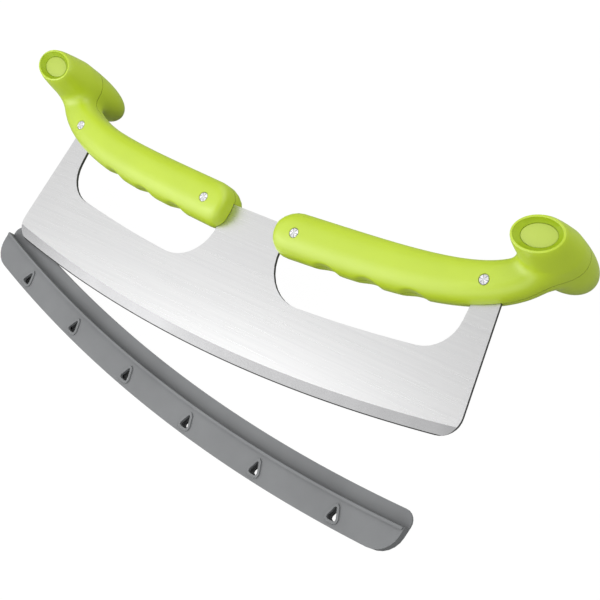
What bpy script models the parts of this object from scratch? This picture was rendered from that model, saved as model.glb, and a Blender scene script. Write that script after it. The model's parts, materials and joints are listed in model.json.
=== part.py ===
"""Pizza rocker knife: a curved two-handed blade, two moulded handles with upright palm horns, and an edge sheath.

Everything is drawn in the knife's own frame: +X along the blade, +Y towards its back, +Z up to the handles,
with Y = 0 in the blade's mid-plane and the lowest point of the cutting edge at the origin. The last section
lays the knife on its back, on the two horns and the sheath. Sizes are metres.
"""

from math import asin, atan2, cos, pi, radians, sin, sqrt, tan

import bmesh
import bpy
import numpy as np
from mathutils import Matrix, Vector
from mathutils.bvhtree import BVHTree

# Blade
BLADE_LENGTH = 0.3556
BLADE_THICKNESS = 0.002
BLADE_TOP = 0.0872
BLADE_SIDE_RISE = 0.0158
EDGE_RADIUS = 1.0
BEVEL_WIDTH = 0.0065
EDGE_LAND = 0.0002
SIDE_LEAN = radians(8)
BLADE_CORNER = 0.0125
TANG_HEIGHT = 0.009
TANG_INSET = 0.0082
GRIND_OVERRUN = 0.2
GRIND_REACH = 1.15

# Finger windows
BRIDGE_WIDTH = 0.0502
WINDOW_FLOOR = 0.0436
WINDOW_MARGIN = 0.0246
WINDOW_INNER_CORNER = 0.027
WINDOW_OUTER_CORNER = 0.022

# Handle bar
GRIP_START = 0.0207
GRIP_DROP = 0.0046
GRIP_HEIGHT = 0.0272
NECK_HEIGHT = 0.0188
NECK_TAPER = 3
HANDLE_DEPTH = 0.023
GRIP_RUN = 0.0835
GRIP_RISE = 0.0048
NECK_SWEEP = 0.0095
NECK_RISE = 0.0382
GRIP_UPPER_CORNER = 0.0134
GRIP_LOWER_CORNER = 0.009
GRIP_END_EDGE = 0.002
UPPER_SHOULDER = 3.4
LOWER_SHOULDER = 2.4

# Finger grooves
GROOVES = 3
GROOVE_FIRST = 0.0603
GROOVE_PITCH = 0.029
GROOVE_DEPTH = 0.0023
GROOVE_RADIUS = 0.017
GROOVE_BLEND = 0.002

# Palm horn
HORN_OVERHANG = 0.0082
HORN_RISE = 0.0217
HORN_TILT = radians(10.3)
HORN_LEAN = 0.02
HORN_FRONT = 0.0322
HORN_BACK = 0.0389
HORN_WAIST = 0.0102
HORN_LENGTH = 0.0358
HORN_WIDTH = 0.0286
HORN_FLARE = 0.75
HORN_DOME = 2.7
RIM_LENGTH = 0.0306
RIM_WIDTH = 0.021
RIM_ROUND = 0.0013
HORN_BLEND = 0.006

# Plug in the horn's front end
PLUG_LENGTH = 0.0201
PLUG_WIDTH = 0.0128
PLUG_RECESS = 0.0026
PLUG_THICKNESS = 0.003
RIM_LIP = 0.0017
PLUG_EDGE = 0.0004

# Rivets
RIVET_INNER_X = 0.0364
RIVET_INNER_RISE = -0.0003
RIVET_OUTER_INSET = 0.0185
RIVET_OUTER_RISE = -0.0012
RIVET_HEAD_RADIUS = 0.00285
RIVET_HEAD_THICKNESS = 0.0016
RIVET_HEAD_PROUD = 0.0002
RIVET_HEAD_ROUND = 0.0003
RIVET_TUBE_WALL = 0.0005
RIVET_PIN_RADIUS = 0.0012
RIVET_PIN_LENGTH = 0.016

# Edge sheath
SHEATH_OVERHANG = 0.003
SHEATH_WALL = 0.0015
SHEATH_CHANNEL = 0.003
SHEATH_STEP = 0.00005
SHEATH_FRONT_DEPTH = 0.0173
SHEATH_BACK_DEPTH = 0.0264
SHEATH_LOWER_CORNER = 0.015
SHEATH_UPPER_CORNER = 0.0065
BEAD_HEIGHT = 0.0016
BEAD_PROUD = 0.001
HOLES = 6
HOLE_PITCH = 0.0573
HOLE_SHIFT = 0.0002
HOLE_LIFT = 0.0036
HOLE_HEIGHT = 0.0092
HOLE_WIDTH = 0.0074
HOLE_BASE_ROUND = 0.0013
HOLE_TIP_ROUND = 0.0008
HOLE_RIM_WIDTH = 0.0014
HOLE_RIM_PROUD = 0.0007

# Where the sheath lies beside the edge: its turn, and how far its arc's centre is from the seated place
SHEATH_TURN = radians(7.755)
SHEATH_SHIFT = 0.1279
SHEATH_DROP = 0.0514

# Fits
GAP = 0.0003
EDGE_CLEARANCE = 0.0005

# Fineness of the facets
EDGE_STEPS = 48
TANG_STEPS = 12
SIDE_SEGMENTS = 8
BAR_STATIONS = 27
JOINT_STATIONS = 3
JOINT_RUN = 0.007
JOINT_MARGIN = 0.002
REFERENCE_FINENESS = 4
RIVET_STEPS = 16
SLIVER = 0.00002

COLOURS = {
    "lime": ((0.590, 0.750, 0.105), 0.42, 0.0),
    "lime_plug": ((0.500, 0.640, 0.090), 0.45, 0.0),
    "steel": ((0.800, 0.805, 0.810), 0.32, 1.0),
    "rivet_steel": ((0.780, 0.780, 0.790), 0.22, 1.0),
    "grey": ((0.235, 0.240, 0.245), 0.55, 0.0),
}

# Sizes that follow from the ones above
BLADE_SIDE_TOP = BLADE_TOP + BLADE_SIDE_RISE
WINDOW_END = BLADE_LENGTH / 2 - WINDOW_MARGIN
GRIP_START_HEIGHT = BLADE_TOP - GRIP_DROP
HORN_X = BLADE_LENGTH / 2 + HORN_OVERHANG
HORN_HEIGHT = BLADE_SIDE_TOP + HORN_RISE
RIVET_OUTER_X = BLADE_LENGTH / 2 - RIVET_OUTER_INSET
SHEATH_LENGTH = BLADE_LENGTH + 2 * SHEATH_OVERHANG
HALF_DEPTH = HANDLE_DEPTH / 2
HALF_BLADE = BLADE_THICKNESS / 2
CLEAR = 0.005


# Scene helpers


def clear_scene():
    for item in list(bpy.data.objects):
        bpy.data.objects.remove(item, do_unlink=True)


def new_collection(name):
    collection = bpy.data.collections.new(name)
    bpy.context.scene.collection.children.link(collection)
    return collection


def material(name):
    if name in bpy.data.materials:
        return bpy.data.materials[name]
    colour, roughness, metallic = COLOURS[name]
    made = bpy.data.materials.new(name)
    made.use_nodes = True
    shader = made.node_tree.nodes["Principled BSDF"]
    shader.inputs["Base Color"].default_value = (*colour, 1.0)
    shader.inputs["Roughness"].default_value = roughness
    shader.inputs["Metallic"].default_value = metallic
    made.diffuse_color = (*colour, 1.0)
    return made


def object_from(mesh, name, collection):
    made = bpy.data.objects.new(name, mesh)
    collection.objects.link(made)
    return made


def cutter_from(mesh, name):
    made = object_from(mesh, name, CUTTERS)
    made.hide_render = True
    made.display_type = "WIRE"
    return made


def tidied(bm, mesh, weld=0.000001):
    """Writes the bmesh to the mesh, with doubled points welded and every face turned outwards."""
    bmesh.ops.remove_doubles(bm, verts=bm.verts, dist=weld)
    bmesh.ops.recalc_face_normals(bm, faces=bm.faces)
    bm.to_mesh(mesh)
    bm.free()
    return mesh


def evaluated_mesh(source, name):
    graph = bpy.context.evaluated_depsgraph_get()
    mesh = bpy.data.meshes.new_from_object(source.evaluated_get(graph))
    mesh.name = name
    return mesh


def mesh_of_guide(guide, name):
    """The closed mesh that a curve or a turned profile stands for, where it lies. The guide is removed."""
    bpy.context.view_layer.update()
    mesh = evaluated_mesh(guide, name)
    mesh.transform(guide.matrix_world)
    bpy.data.objects.remove(guide, do_unlink=True)
    bm = bmesh.new()
    bm.from_mesh(mesh)
    return tidied(bm, mesh)


def combine(part, other, operation):
    """Joins the other solid to the part, or cuts it away, and keeps what comes out as the part's mesh."""
    boolean = part.modifiers.new(other.name, "BOOLEAN")
    boolean.operation = operation
    boolean.solver = "EXACT"
    boolean.object = other
    mesh = evaluated_mesh(part, part.name)
    bm = bmesh.new()
    bm.from_mesh(mesh)
    part.modifiers.clear()
    part.data = tidied(bm, mesh, SLIVER)


def finish(part, colour, crease):
    part.data.materials.clear()
    part.data.materials.append(material(colour))
    part.data.shade_smooth()
    part.data.set_sharp_from_angle(angle=crease)
    return part


def mirrored(source, name):
    """A copy of the part on the other side of the knife."""
    mesh = source.data.copy()
    mesh.name = name
    mesh.transform(Matrix.Scale(-1, 4, (1, 0, 0)))
    mesh.flip_normals()
    return object_from(mesh, name, PARTS)


# Flat outlines, as lists of (x, z)


def arc(centre, radius, start, end, steps=6):
    turns = np.linspace(start, end, steps + 1 if radius else 1)
    return [(centre[0] + radius * cos(t), centre[1] + radius * sin(t)) for t in turns]


def rounded(corners, steps=2):
    """The polygon through corners (x, z, radius), each rounded by its radius."""
    points = []
    for index, (x, z, radius) in enumerate(corners):
        here = Vector((x, z))
        before = (Vector(corners[index - 1][:2]) - here).normalized()
        after = (Vector(corners[(index + 1) % len(corners)][:2]) - here).normalized()
        half = before.angle(after) / 2
        centre = here + (before + after).normalized() * radius / sin(half)
        first = here + before * radius / tan(half) - centre
        last = here + after * radius / tan(half) - centre
        start = atan2(first.y, first.x)
        sweep = (atan2(last.y, last.x) - start + pi) % (2 * pi) - pi
        points += arc(centre, radius, start, start + sweep, steps)
    return points


def grown(outline, distance):
    """The closed outline moved outwards by the distance, whichever way round it runs."""
    ring = np.array(outline)
    before = ring - np.roll(ring, 1, axis=0)
    after = np.roll(ring, -1, axis=0) - ring
    before /= np.linalg.norm(before, axis=1)[:, None]
    after /= np.linalg.norm(after, axis=1)[:, None]
    following = np.roll(ring, -1, axis=0)
    area = np.sum(ring[:, 0] * following[:, 1] - ring[:, 1] * following[:, 0])
    along = before + after
    outward = np.stack([along[:, 1], -along[:, 0]], axis=1) * np.sign(area)
    outward /= np.linalg.norm(outward, axis=1)[:, None]
    mitre = np.sqrt((1 + np.sum(before * after, axis=1)) / 2)
    return [tuple(point) for point in ring + outward * distance / mitre[:, None]]


def fillet_height(x, reach):
    """Height of a fillet's centre that lies at x and at this reach from the centre of the cutting edge."""
    return EDGE_RADIUS - sqrt(reach**2 - x**2)


def circle_arc(radius, start_x, end_x, steps=EDGE_STEPS):
    """Points between two values of x on the lower side of a circle round the centre of the cutting edge."""
    turns = np.linspace(asin(start_x / radius), asin(end_x / radius), steps + 1)
    return [(radius * sin(t), EDGE_RADIUS - radius * cos(t)) for t in turns]


def plate(outlines, front, back, name):
    """A flat solid between two depths. An outline inside another is a hole in it."""
    curve = bpy.data.curves.new(name, "CURVE")
    curve.dimensions = "2D"
    curve.fill_mode = "BOTH"
    curve.extrude = (back - front) / 2
    for outline in outlines:
        spline = curve.splines.new("POLY")
        spline.points.add(len(outline) - 1)
        for point, (x, z) in zip(spline.points, outline):
            point.co = (x, z, 0, 1)
        spline.use_cyclic_u = True
    guide = object_from(curve, name, CUTTERS)
    upright = Matrix.Rotation(pi / 2, 4, "X")
    guide.matrix_world = Matrix.Translation((0, (front + back) / 2, 0)) @ upright
    return mesh_of_guide(guide, name)


# Lofted and turned solids


def loft(rings, name, apex=None):
    """A closed solid through rings of equal counts of points. Fans close its ends, the last one at the apex."""
    bm = bmesh.new()
    rows = [[bm.verts.new(point) for point in ring] for ring in rings]
    for row, following in zip(rows, rows[1:]):
        skin(bm, row, following)
    close_with_fan(bm, rows[0])
    close_with_fan(bm, rows[-1], apex)
    return tidied(bm, bpy.data.meshes.new(name))


def skin(bm, row, following):
    for index in range(len(row)):
        bm.faces.new((row[index - 1], row[index], following[index], following[index - 1]))


def close_with_fan(bm, row, apex=None):
    centre = bm.verts.new(apex or sum((vert.co for vert in row), Vector()) / len(row))
    for index in range(len(row)):
        bm.faces.new((row[index - 1], row[index], centre))


def turned(profile, x, z, name):
    """A solid turned about the line along Y through (x, z). The profile holds (radius, y), axis to axis."""
    guide_mesh = bpy.data.meshes.new(name)
    # The Screw turns about the object's own Z, which the rotation lays along -Y.
    points = [(radius, 0, -y) for radius, y in profile]
    guide_mesh.from_pydata(points, [(index, index + 1) for index in range(len(points) - 1)], [])
    guide = object_from(guide_mesh, name, CUTTERS)
    screw = guide.modifiers.new("turn", "SCREW")
    screw.steps = RIVET_STEPS
    screw.render_steps = RIVET_STEPS
    screw.use_merge_vertices = True
    screw.merge_threshold = 0.00001
    guide.matrix_world = Matrix.Translation((x, 0, z)) @ Matrix.Rotation(pi / 2, 4, "X")
    return mesh_of_guide(guide, name)


# Handle axis and sections


def bezier(points, share):
    rest = 1 - share
    weights = (rest**3, 3 * rest**2 * share, 3 * rest * share**2, share**3)
    return sum((Vector(point) * weight for weight, point in zip(weights, points)), Vector((0, 0)))


AXIS_POINTS = (
    (GRIP_START, GRIP_START_HEIGHT),
    (GRIP_START + GRIP_RUN, GRIP_START_HEIGHT + GRIP_RISE),
    (HORN_X - NECK_SWEEP, HORN_HEIGHT - NECK_RISE),
    (HORN_X, HORN_HEIGHT),
)
AXIS_SHARES = np.linspace(0, 1, 201)
AXIS_TRACK = np.array([bezier(AXIS_POINTS, share) for share in AXIS_SHARES])
AXIS_STEPS = np.linalg.norm(np.diff(AXIS_TRACK, axis=0), axis=1)
AXIS_DISTANCES = np.concatenate([[0], np.cumsum(AXIS_STEPS)])
AXIS_LENGTH = AXIS_DISTANCES[-1]


def axis_height(x):
    return float(np.interp(x, AXIS_TRACK[:, 0], AXIS_TRACK[:, 1]))


def axis_at(distance):
    """The point of the handle's axis at a distance from its inner end, and the axis's direction there."""
    share = float(np.interp(distance, AXIS_DISTANCES, AXIS_SHARES))
    ahead = bezier(AXIS_POINTS, min(share + 0.01, 1))
    behind = bezier(AXIS_POINTS, max(share - 0.01, 0))
    return bezier(AXIS_POINTS, share), (ahead - behind).normalized()


def rounded_end(size, corner, distance):
    """A half size that grows from the end along a round corner."""
    short = max(corner - distance, 0)
    return size - corner + sqrt(corner**2 - short**2)


def bar_half_height(distance):
    thinning = (GRIP_HEIGHT - NECK_HEIGHT) * (distance / AXIS_LENGTH) ** NECK_TAPER
    return (GRIP_HEIGHT - thinning) / 2


def even_ring(curve, segments):
    """Points spread evenly over each quarter of a closed curve, which curve(turn) gives."""
    ring = []
    for quarter in range(4):
        turns = np.linspace(quarter, quarter + 1, 65) * pi / 2
        track = np.array([curve(turn) for turn in turns])
        along = np.concatenate([[0], np.cumsum(np.linalg.norm(np.diff(track, axis=0), axis=1))])
        wanted = np.linspace(0, along[-1], segments + 1)[:-1]
        ring += list(zip(np.interp(wanted, along, track[:, 0]), np.interp(wanted, along, track[:, 1])))
    return ring


def bar_ring(distance, segments):
    """Section of the bar: from the middle of the front over the top, the back and the underside."""
    centre, along = axis_at(distance)
    up = Vector((-along.y, along.x))
    half_height = bar_half_height(distance)
    upper = rounded_end(half_height, GRIP_UPPER_CORNER, distance)
    lower = rounded_end(half_height, GRIP_LOWER_CORNER, distance)
    half_depth = rounded_end(HALF_DEPTH, GRIP_END_EDGE, distance)

    def section(turn):
        power = 2 / (UPPER_SHOULDER if sin(turn) > 0 else LOWER_SHOULDER)
        across = -abs(cos(turn)) ** power * (1 if cos(turn) > 0 else -1) * half_depth
        rise = abs(sin(turn)) ** power * (upper if sin(turn) > 0 else -lower)
        return across, rise

    ring = []
    for across, rise in even_ring(section, segments):
        place = centre + up * rise
        ring.append((place.x, across, place.y))
    return ring


def bar_distances(last, stations):
    """Distances of the bar's sections, close together round its inner end."""
    ending = [GRIP_UPPER_CORNER * (1 - cos(turn)) for turn in np.linspace(0, pi / 2, 7)]
    return ending[:-1] + list(np.linspace(ending[-1], last, stations))


def horn_centre(y):
    return HORN_HEIGHT - HORN_LEAN * (y + HORN_FRONT)


def horn_sizes(y):
    """Half length and half width of the horn's oval at a depth."""
    if y < -HORN_FRONT + RIM_ROUND:
        inset = RIM_ROUND - sqrt(max(RIM_ROUND**2 - (RIM_ROUND - HORN_FRONT - y) ** 2, 0))
        return RIM_LENGTH / 2 - inset, RIM_WIDTH / 2 - inset
    if y < -HORN_WAIST:
        share = max((y + HORN_FRONT - RIM_ROUND) / (HORN_FRONT - RIM_ROUND - HORN_WAIST), 0)
        flare = share**HORN_FLARE
        length = RIM_LENGTH + (HORN_LENGTH - RIM_LENGTH) * flare
        return length / 2, (RIM_WIDTH + (HORN_WIDTH - RIM_WIDTH) * flare) / 2
    share = min((y + HORN_WAIST) / (HORN_BACK + HORN_WAIST), 1)
    scale = (1 - max(share, 0) ** HORN_DOME) ** (1 / HORN_DOME)
    return scale * HORN_LENGTH / 2, scale * HORN_WIDTH / 2


def oval_point(half_length, half_width, turn, y):
    along = half_length * cos(turn)
    across = half_width * sin(turn)
    x = HORN_X + along * cos(HORN_TILT) - across * sin(HORN_TILT)
    z = horn_centre(y) + along * sin(HORN_TILT) + across * cos(HORN_TILT)
    return x, z


def horn_ring(y, segments):
    """Oval of the horn at a depth. It starts in front of the bar and runs the way the bar's section does."""
    half_length, half_width = horn_sizes(y)
    toward = -axis_at(AXIS_LENGTH)[1]
    towards_bar = atan2(toward.y, toward.x) - HORN_TILT
    first = atan2(sin(towards_bar) / half_width, cos(towards_bar) / half_length) if half_width else 0
    turns = first - np.arange(4 * segments) * pi / 2 / segments
    return [(x, y, z) for x, z in (oval_point(half_length, half_width, turn, y) for turn in turns)]


def horn_depths(patch, segments):
    """Depths of the horn's ovals, the ones from -patch to patch being evenly spaced for the bar to join."""
    rim = [RIM_ROUND * (1 - cos(turn)) - HORN_FRONT for turn in np.linspace(0, pi / 2, 3)]
    front = list(np.linspace(rim[-1], -patch, segments * 5 // 8 + 1)[1:-1])
    middle = list(np.linspace(-patch, patch, segments + 1))
    turns = np.linspace(0, pi / 2, segments + 1)[1:-1]
    back = [patch + (HORN_BACK - patch) * sin(turn) for turn in turns]
    return rim + front + middle + back


# Handle skin


def signed_distance(tree, point):
    """Distance from a closed surface, below zero inside it, and the direction in which it grows."""
    nearest, normal, _, distance = tree.find_nearest(point)
    if distance < 1e-7:
        return 0, normal
    side = 1 if (point - nearest).dot(normal) > 0 else -1
    return side * distance, (point - nearest) / (side * distance)


def joined(first, second, width):
    """The union of two solids, each given as its distance and direction, with a fillet of this width."""
    share = min(max(0.5 + (second[0] - first[0]) / (2 * width), 0), 1)
    distance = second[0] * (1 - share) + first[0] * share - width * share * (1 - share)
    return distance, second[1] * (1 - share) + first[1] * share


def cut_by(field, cutter, width):
    """The first solid without the second, with its new edges rounded by this width."""
    distance, direction = joined((-field[0], -field[1]), cutter, width)
    return -distance, -direction


def groove_centres():
    """Where the axes of the finger grooves cross the handle's mid-plane."""
    centres = []
    for index in range(GROOVES):
        x = GROOVE_FIRST + index * GROOVE_PITCH
        distance = float(np.interp(x, AXIS_TRACK[:, 0], AXIS_DISTANCES))
        centre, along = axis_at(distance)
        down = Vector((along.y, -along.x))
        centres.append(centre + down * (bar_half_height(distance) + GROOVE_RADIUS - GROOVE_DEPTH))
    return centres


def tree_of(mesh):
    points = [vert.co.copy() for vert in mesh.vertices]
    return BVHTree.FromPolygons(points, [tuple(face.vertices) for face in mesh.polygons])


def bar_reference(segments):
    rings = [bar_ring(distance, segments) for distance in bar_distances(AXIS_LENGTH, 3 * BAR_STATIONS)]
    return loft(rings, "bar_reference")


def horn_reference(segments):
    rings = [horn_ring(y, segments) for y in horn_depths(HALF_DEPTH, segments)]
    return loft(rings, "horn_reference", Vector((HORN_X, HORN_BACK, horn_centre(HORN_BACK))))


def settle(bm):
    """Moves every point of the handle onto the bar and horn with their fillet, cut by the finger grooves."""
    bar = tree_of(bar_reference(SIDE_SEGMENTS * REFERENCE_FINENESS))
    horn = tree_of(horn_reference(SIDE_SEGMENTS * REFERENCE_FINENESS))
    grooves = groove_centres()
    for vert in bm.verts:
        for _ in range(6):
            field = joined(signed_distance(bar, vert.co), signed_distance(horn, vert.co), HORN_BLEND)
            for centre in grooves:
                away = Vector((vert.co.x - centre.x, 0, vert.co.z - centre.y))
                field = cut_by(field, (away.length - GROOVE_RADIUS, away.normalized()), GROOVE_BLEND)
            distance, direction = field
            vert.co -= direction * distance / max(direction.length_squared, 0.25)


def opening_loop(rows, segments):
    """The horn's points round its opening for the bar, in the order of the bar's section."""
    half = segments // 2
    loop = []
    for index in range(4 * segments):
        side, step = divmod(index + half, segments)
        corners = ((step - half, 0), (half, step), (half - step, segments), (-half, segments - step))
        column, row = corners[side % 4]
        loop.append(rows[row][column])
    return loop


def handle_mesh(segments, stations, name):
    """Bar and horn as one skin: the bar's last section runs into an opening in the side of the horn."""
    bm = bmesh.new()
    patch = HALF_DEPTH + JOINT_MARGIN
    depths = horn_depths(patch, segments)
    rows = [[bm.verts.new(point) for point in horn_ring(y, segments)] for y in depths]
    first = min(range(len(depths)), key=lambda number: abs(depths[number] + patch))
    half = segments // 2
    for number, (row, following) in enumerate(zip(rows, rows[1:])):
        for column in range(-half, 4 * segments - half):
            if first <= number < first + segments and column < half:
                continue
            after = (column + 1) % (4 * segments)
            bm.faces.new((row[column], row[after], following[after], following[column]))
    close_with_fan(bm, rows[0])
    close_with_fan(bm, rows[-1], Vector((HORN_X, HORN_BACK, horn_centre(HORN_BACK))))

    distances = bar_distances(AXIS_LENGTH - HORN_WIDTH / 2 - JOINT_RUN, stations)
    sections = [[bm.verts.new(point) for point in bar_ring(distance, segments)] for distance in distances]
    close_with_fan(bm, sections[0])
    bar_end = sections[-1]
    loop = opening_loop(rows[first : first + segments + 1], segments)
    for share in np.linspace(0, 1, JOINT_STATIONS + 2)[1:-1]:
        sections.append([bm.verts.new(start.co.lerp(end.co, share)) for start, end in zip(bar_end, loop)])
    sections.append(loop)
    for section, following in zip(sections, sections[1:]):
        skin(bm, section, following)
    bmesh.ops.delete(bm, geom=[vert for vert in bm.verts if not vert.link_faces], context="VERTS")
    settle(bm)
    return tidied(bm, bpy.data.meshes.new(name))


# Blade


def tang_middle(x):
    """Height of the middle of the tang, the strip of the blade inside the handle."""
    return min(axis_height(x), BLADE_SIDE_TOP - TANG_HEIGHT / 2)


def tang_top(x):
    return max(BLADE_TOP, tang_middle(x) + TANG_HEIGHT / 2)


def tang_bottom(x):
    return tang_middle(x) - TANG_HEIGHT / 2


def edge_reach():
    """Half the angle that the cutting edge spans, up to where its rounded corners begin."""
    return asin((BLADE_LENGTH / 2 - BLADE_CORNER) / (EDGE_RADIUS - BLADE_CORNER))


def blade_outline():
    corner_x = BLADE_LENGTH / 2 - BLADE_CORNER
    corner = (corner_x, fillet_height(corner_x, EDGE_RADIUS - BLADE_CORNER))
    end_x = EDGE_RADIUS * sin(edge_reach())
    side = arc(corner, BLADE_CORNER, edge_reach() - pi / 2, SIDE_LEAN, 8)[1:]
    side_x, side_z = side[-1]
    top_x = side_x - tan(SIDE_LEAN) * (BLADE_SIDE_TOP - side_z)
    tang = [(x, tang_top(x)) for x in np.linspace(top_x - TANG_INSET, GRIP_START, TANG_STEPS)]
    right = side + [(top_x, BLADE_SIDE_TOP)] + tang
    left = [(-x, z) for x, z in reversed(right)]
    return circle_arc(EDGE_RADIUS, -end_x, end_x) + right + left


def window_outline():
    """The right finger window. It runs up inside the handle, to the lower side of the tang."""
    floor = EDGE_RADIUS - WINDOW_FLOOR
    inner_x = BRIDGE_WIDTH / 2 + WINDOW_INNER_CORNER
    outer_x = WINDOW_END - WINDOW_OUTER_CORNER
    inner_turn = asin(inner_x / (floor - WINDOW_INNER_CORNER))
    outer_turn = asin(outer_x / (floor - WINDOW_OUTER_CORNER))
    inner = (inner_x, fillet_height(inner_x, floor - WINDOW_INNER_CORNER))
    outer = (outer_x, fillet_height(outer_x, floor - WINDOW_OUTER_CORNER))
    lower = arc(inner, WINDOW_INNER_CORNER, -pi, inner_turn - pi / 2, 9)
    lower += circle_arc(floor, floor * sin(inner_turn), floor * sin(outer_turn), 10)[1:-1]
    lower += arc(outer, WINDOW_OUTER_CORNER, outer_turn - pi / 2, 0, 8)
    return lower + [(x, tang_bottom(x)) for x in np.linspace(WINDOW_END, BRIDGE_WIDTH / 2, 14)]


def rivet_places():
    """Where the right handle's rivets go, the inner one first."""
    return [
        (RIVET_INNER_X, tang_middle(RIVET_INNER_X) + RIVET_INNER_RISE),
        (RIVET_OUTER_X, tang_middle(RIVET_OUTER_X) + RIVET_OUTER_RISE),
    ]


def round_hole(x, z, radius):
    return arc((x, z), radius, 0, 2 * pi, RIVET_STEPS)[:-1]


def grinding_wedge(side):
    """What is ground off one face along the cutting edge: a wedge carried round the centre of the edge."""
    fall = HALF_BLADE - EDGE_LAND / 2
    outer = EDGE_RADIUS + GRIND_OVERRUN * BEVEL_WIDTH
    wedge = (
        (EDGE_RADIUS - (1 + GRIND_OVERRUN) * BEVEL_WIDTH, HALF_BLADE + GRIND_OVERRUN * fall),
        (outer, EDGE_LAND / 2 - GRIND_OVERRUN * fall),
        (outer, HALF_BLADE + GRIND_OVERRUN * fall),
    )
    # An even count of sections keeps them off the corners of the edge's facets.
    turns = np.linspace(-GRIND_REACH, GRIND_REACH, EDGE_STEPS) * edge_reach()
    rings = [
        [(reach * sin(turn), side * y, EDGE_RADIUS - reach * cos(turn)) for reach, y in wedge] for turn in turns
    ]
    return loft(rings, "grinding_wedge")


def make_blade():
    window = window_outline()
    holes = [window, [(-x, z) for x, z in window]]
    for x, z in rivet_places():
        holes += [round_hole(x, z, TUBE_RADIUS + GAP), round_hole(-x, z, TUBE_RADIUS + GAP)]
    blade = object_from(plate([blade_outline()] + holes, -HALF_BLADE, HALF_BLADE, "blade"), "blade", PARTS)
    for side in (-1, 1):
        combine(blade, cutter_from(grinding_wedge(side), "grinding_wedge"), "DIFFERENCE")
    return finish(blade, "steel", radians(3))


# Handles


def horn_recess():
    """The dish in the horn's front end, and the bore below it for the plug."""
    lip = RIM_LENGTH / 2 - RIM_LIP, RIM_WIDTH / 2 - RIM_LIP
    bore = PLUG_LENGTH / 2 + GAP, PLUG_WIDTH / 2 + GAP
    floor = PLUG_RECESS + PLUG_THICKNESS + GAP
    depths = ((-CLEAR, lip), (0, lip), (PLUG_RECESS, bore), (floor, bore))
    turns = np.linspace(0, 2 * pi, 4 * SIDE_SEGMENTS + 1)[:-1]
    rings = [
        [(x, depth - HORN_FRONT, z) for x, z in (oval_point(*sizes, turn, -HORN_FRONT) for turn in turns)]
        for depth, sizes in depths
    ]
    return loft(rings, "horn_recess")


def rivet_bore(x, z):
    """The stepped hole for one rivet, through both halves of a handle."""
    head = RIVET_HEAD_RADIUS + GAP
    tube = TUBE_RADIUS + GAP
    seat = HEAD_BACK - GAP
    end = HALF_DEPTH + CLEAR
    profile = [(0, -end), (head, -end), (head, -seat), (tube, -seat), (tube, seat), (head, seat)]
    return turned(profile + [(head, end), (0, end)], x, z, "rivet_bore")


def half_space(side):
    """A block over everything on one side of the mid-plane, starting half a gap short of it."""
    bm = bmesh.new()
    bmesh.ops.create_cube(bm, size=1)
    reach = 2 * (HORN_X + HORN_LENGTH)
    depth = HORN_FRONT + HORN_BACK
    bmesh.ops.scale(bm, vec=(reach, depth, reach), verts=bm.verts)
    bmesh.ops.translate(bm, vec=(0, side * (depth - GAP) / 2, 0), verts=bm.verts)
    return tidied(bm, bpy.data.meshes.new("half_space"))


def make_handles():
    whole = handle_mesh(SIDE_SEGMENTS, BAR_STATIONS, "handle")
    pocket_outlines = [grown(blade_outline(), GAP), grown(window_outline(), -GAP)]
    pocket_depth = HALF_BLADE + GAP
    pocket = cutter_from(plate(pocket_outlines, -pocket_depth, pocket_depth, "tang_pocket"), "tang_pocket")
    bores = [cutter_from(rivet_bore(x, z), "rivet_bore") for x, z in rivet_places()]
    recess = cutter_from(horn_recess(), "horn_recess")
    made = []
    for name, side in (("front", -1), ("back", 1)):
        half = object_from(whole.copy(), f"handle_right_{name}", PARTS)
        combine(half, cutter_from(half_space(-side), f"half_space_{name}"), "DIFFERENCE")
        cuts = [pocket] + bores + ([recess] if name == "front" else [])
        for cutter in cuts:
            combine(half, cutter, "DIFFERENCE")
        made += [half, mirrored(half, f"handle_left_{name}")]
    return [finish(half, "lime", radians(40)) for half in made]


def make_plugs():
    """The discs pressed into the front ends of the horns."""
    front = PLUG_RECESS - HORN_FRONT
    rings = []
    for depth, inset in ((0, PLUG_EDGE), (PLUG_EDGE, 0), (PLUG_THICKNESS, 0)):
        sizes = PLUG_LENGTH / 2 - inset, PLUG_WIDTH / 2 - inset
        turns = np.linspace(0, 2 * pi, 4 * SIDE_SEGMENTS + 1)[:-1]
        rings.append([(x, front + depth, z) for x, z in (oval_point(*sizes, turn, -HORN_FRONT) for turn in turns)])
    right = object_from(loft(rings, "horn_plug_right"), "horn_plug_right", PARTS)
    return [finish(plug, "lime_plug", radians(30)) for plug in (right, mirrored(right, "horn_plug_left"))]


def rivet_front(x, z, name):
    """Head and tube. The tube passes through the front half and the blade, and ends under the rear head."""
    face = -HALF_DEPTH - RIVET_HEAD_PROUD
    bore = RIVET_PIN_RADIUS + GAP
    bottom = HEAD_BACK - RIVET_PIN_LENGTH - GAP
    end = HEAD_BACK - GAP
    profile = [(0, bottom), (bore, bottom), (bore, end), (TUBE_RADIUS, end), (TUBE_RADIUS, -HEAD_BACK)]
    return turned(profile + head_profile(face, 1), x, z, name)


def rivet_back(x, z, name):
    """Head and pin. The pin is driven into the front rivet's tube."""
    face = HALF_DEPTH + RIVET_HEAD_PROUD
    tip = HEAD_BACK - RIVET_PIN_LENGTH
    profile = [(0, tip), (RIVET_PIN_RADIUS, tip), (RIVET_PIN_RADIUS, HEAD_BACK)]
    return turned(profile + head_profile(face, -1), x, z, name)


def head_profile(face, inward):
    back = face + inward * RIVET_HEAD_THICKNESS
    round_start = face + inward * RIVET_HEAD_ROUND
    inner = RIVET_HEAD_RADIUS - RIVET_HEAD_ROUND
    return [(RIVET_HEAD_RADIUS, back), (RIVET_HEAD_RADIUS, round_start), (inner, face), (0, face)]


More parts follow.
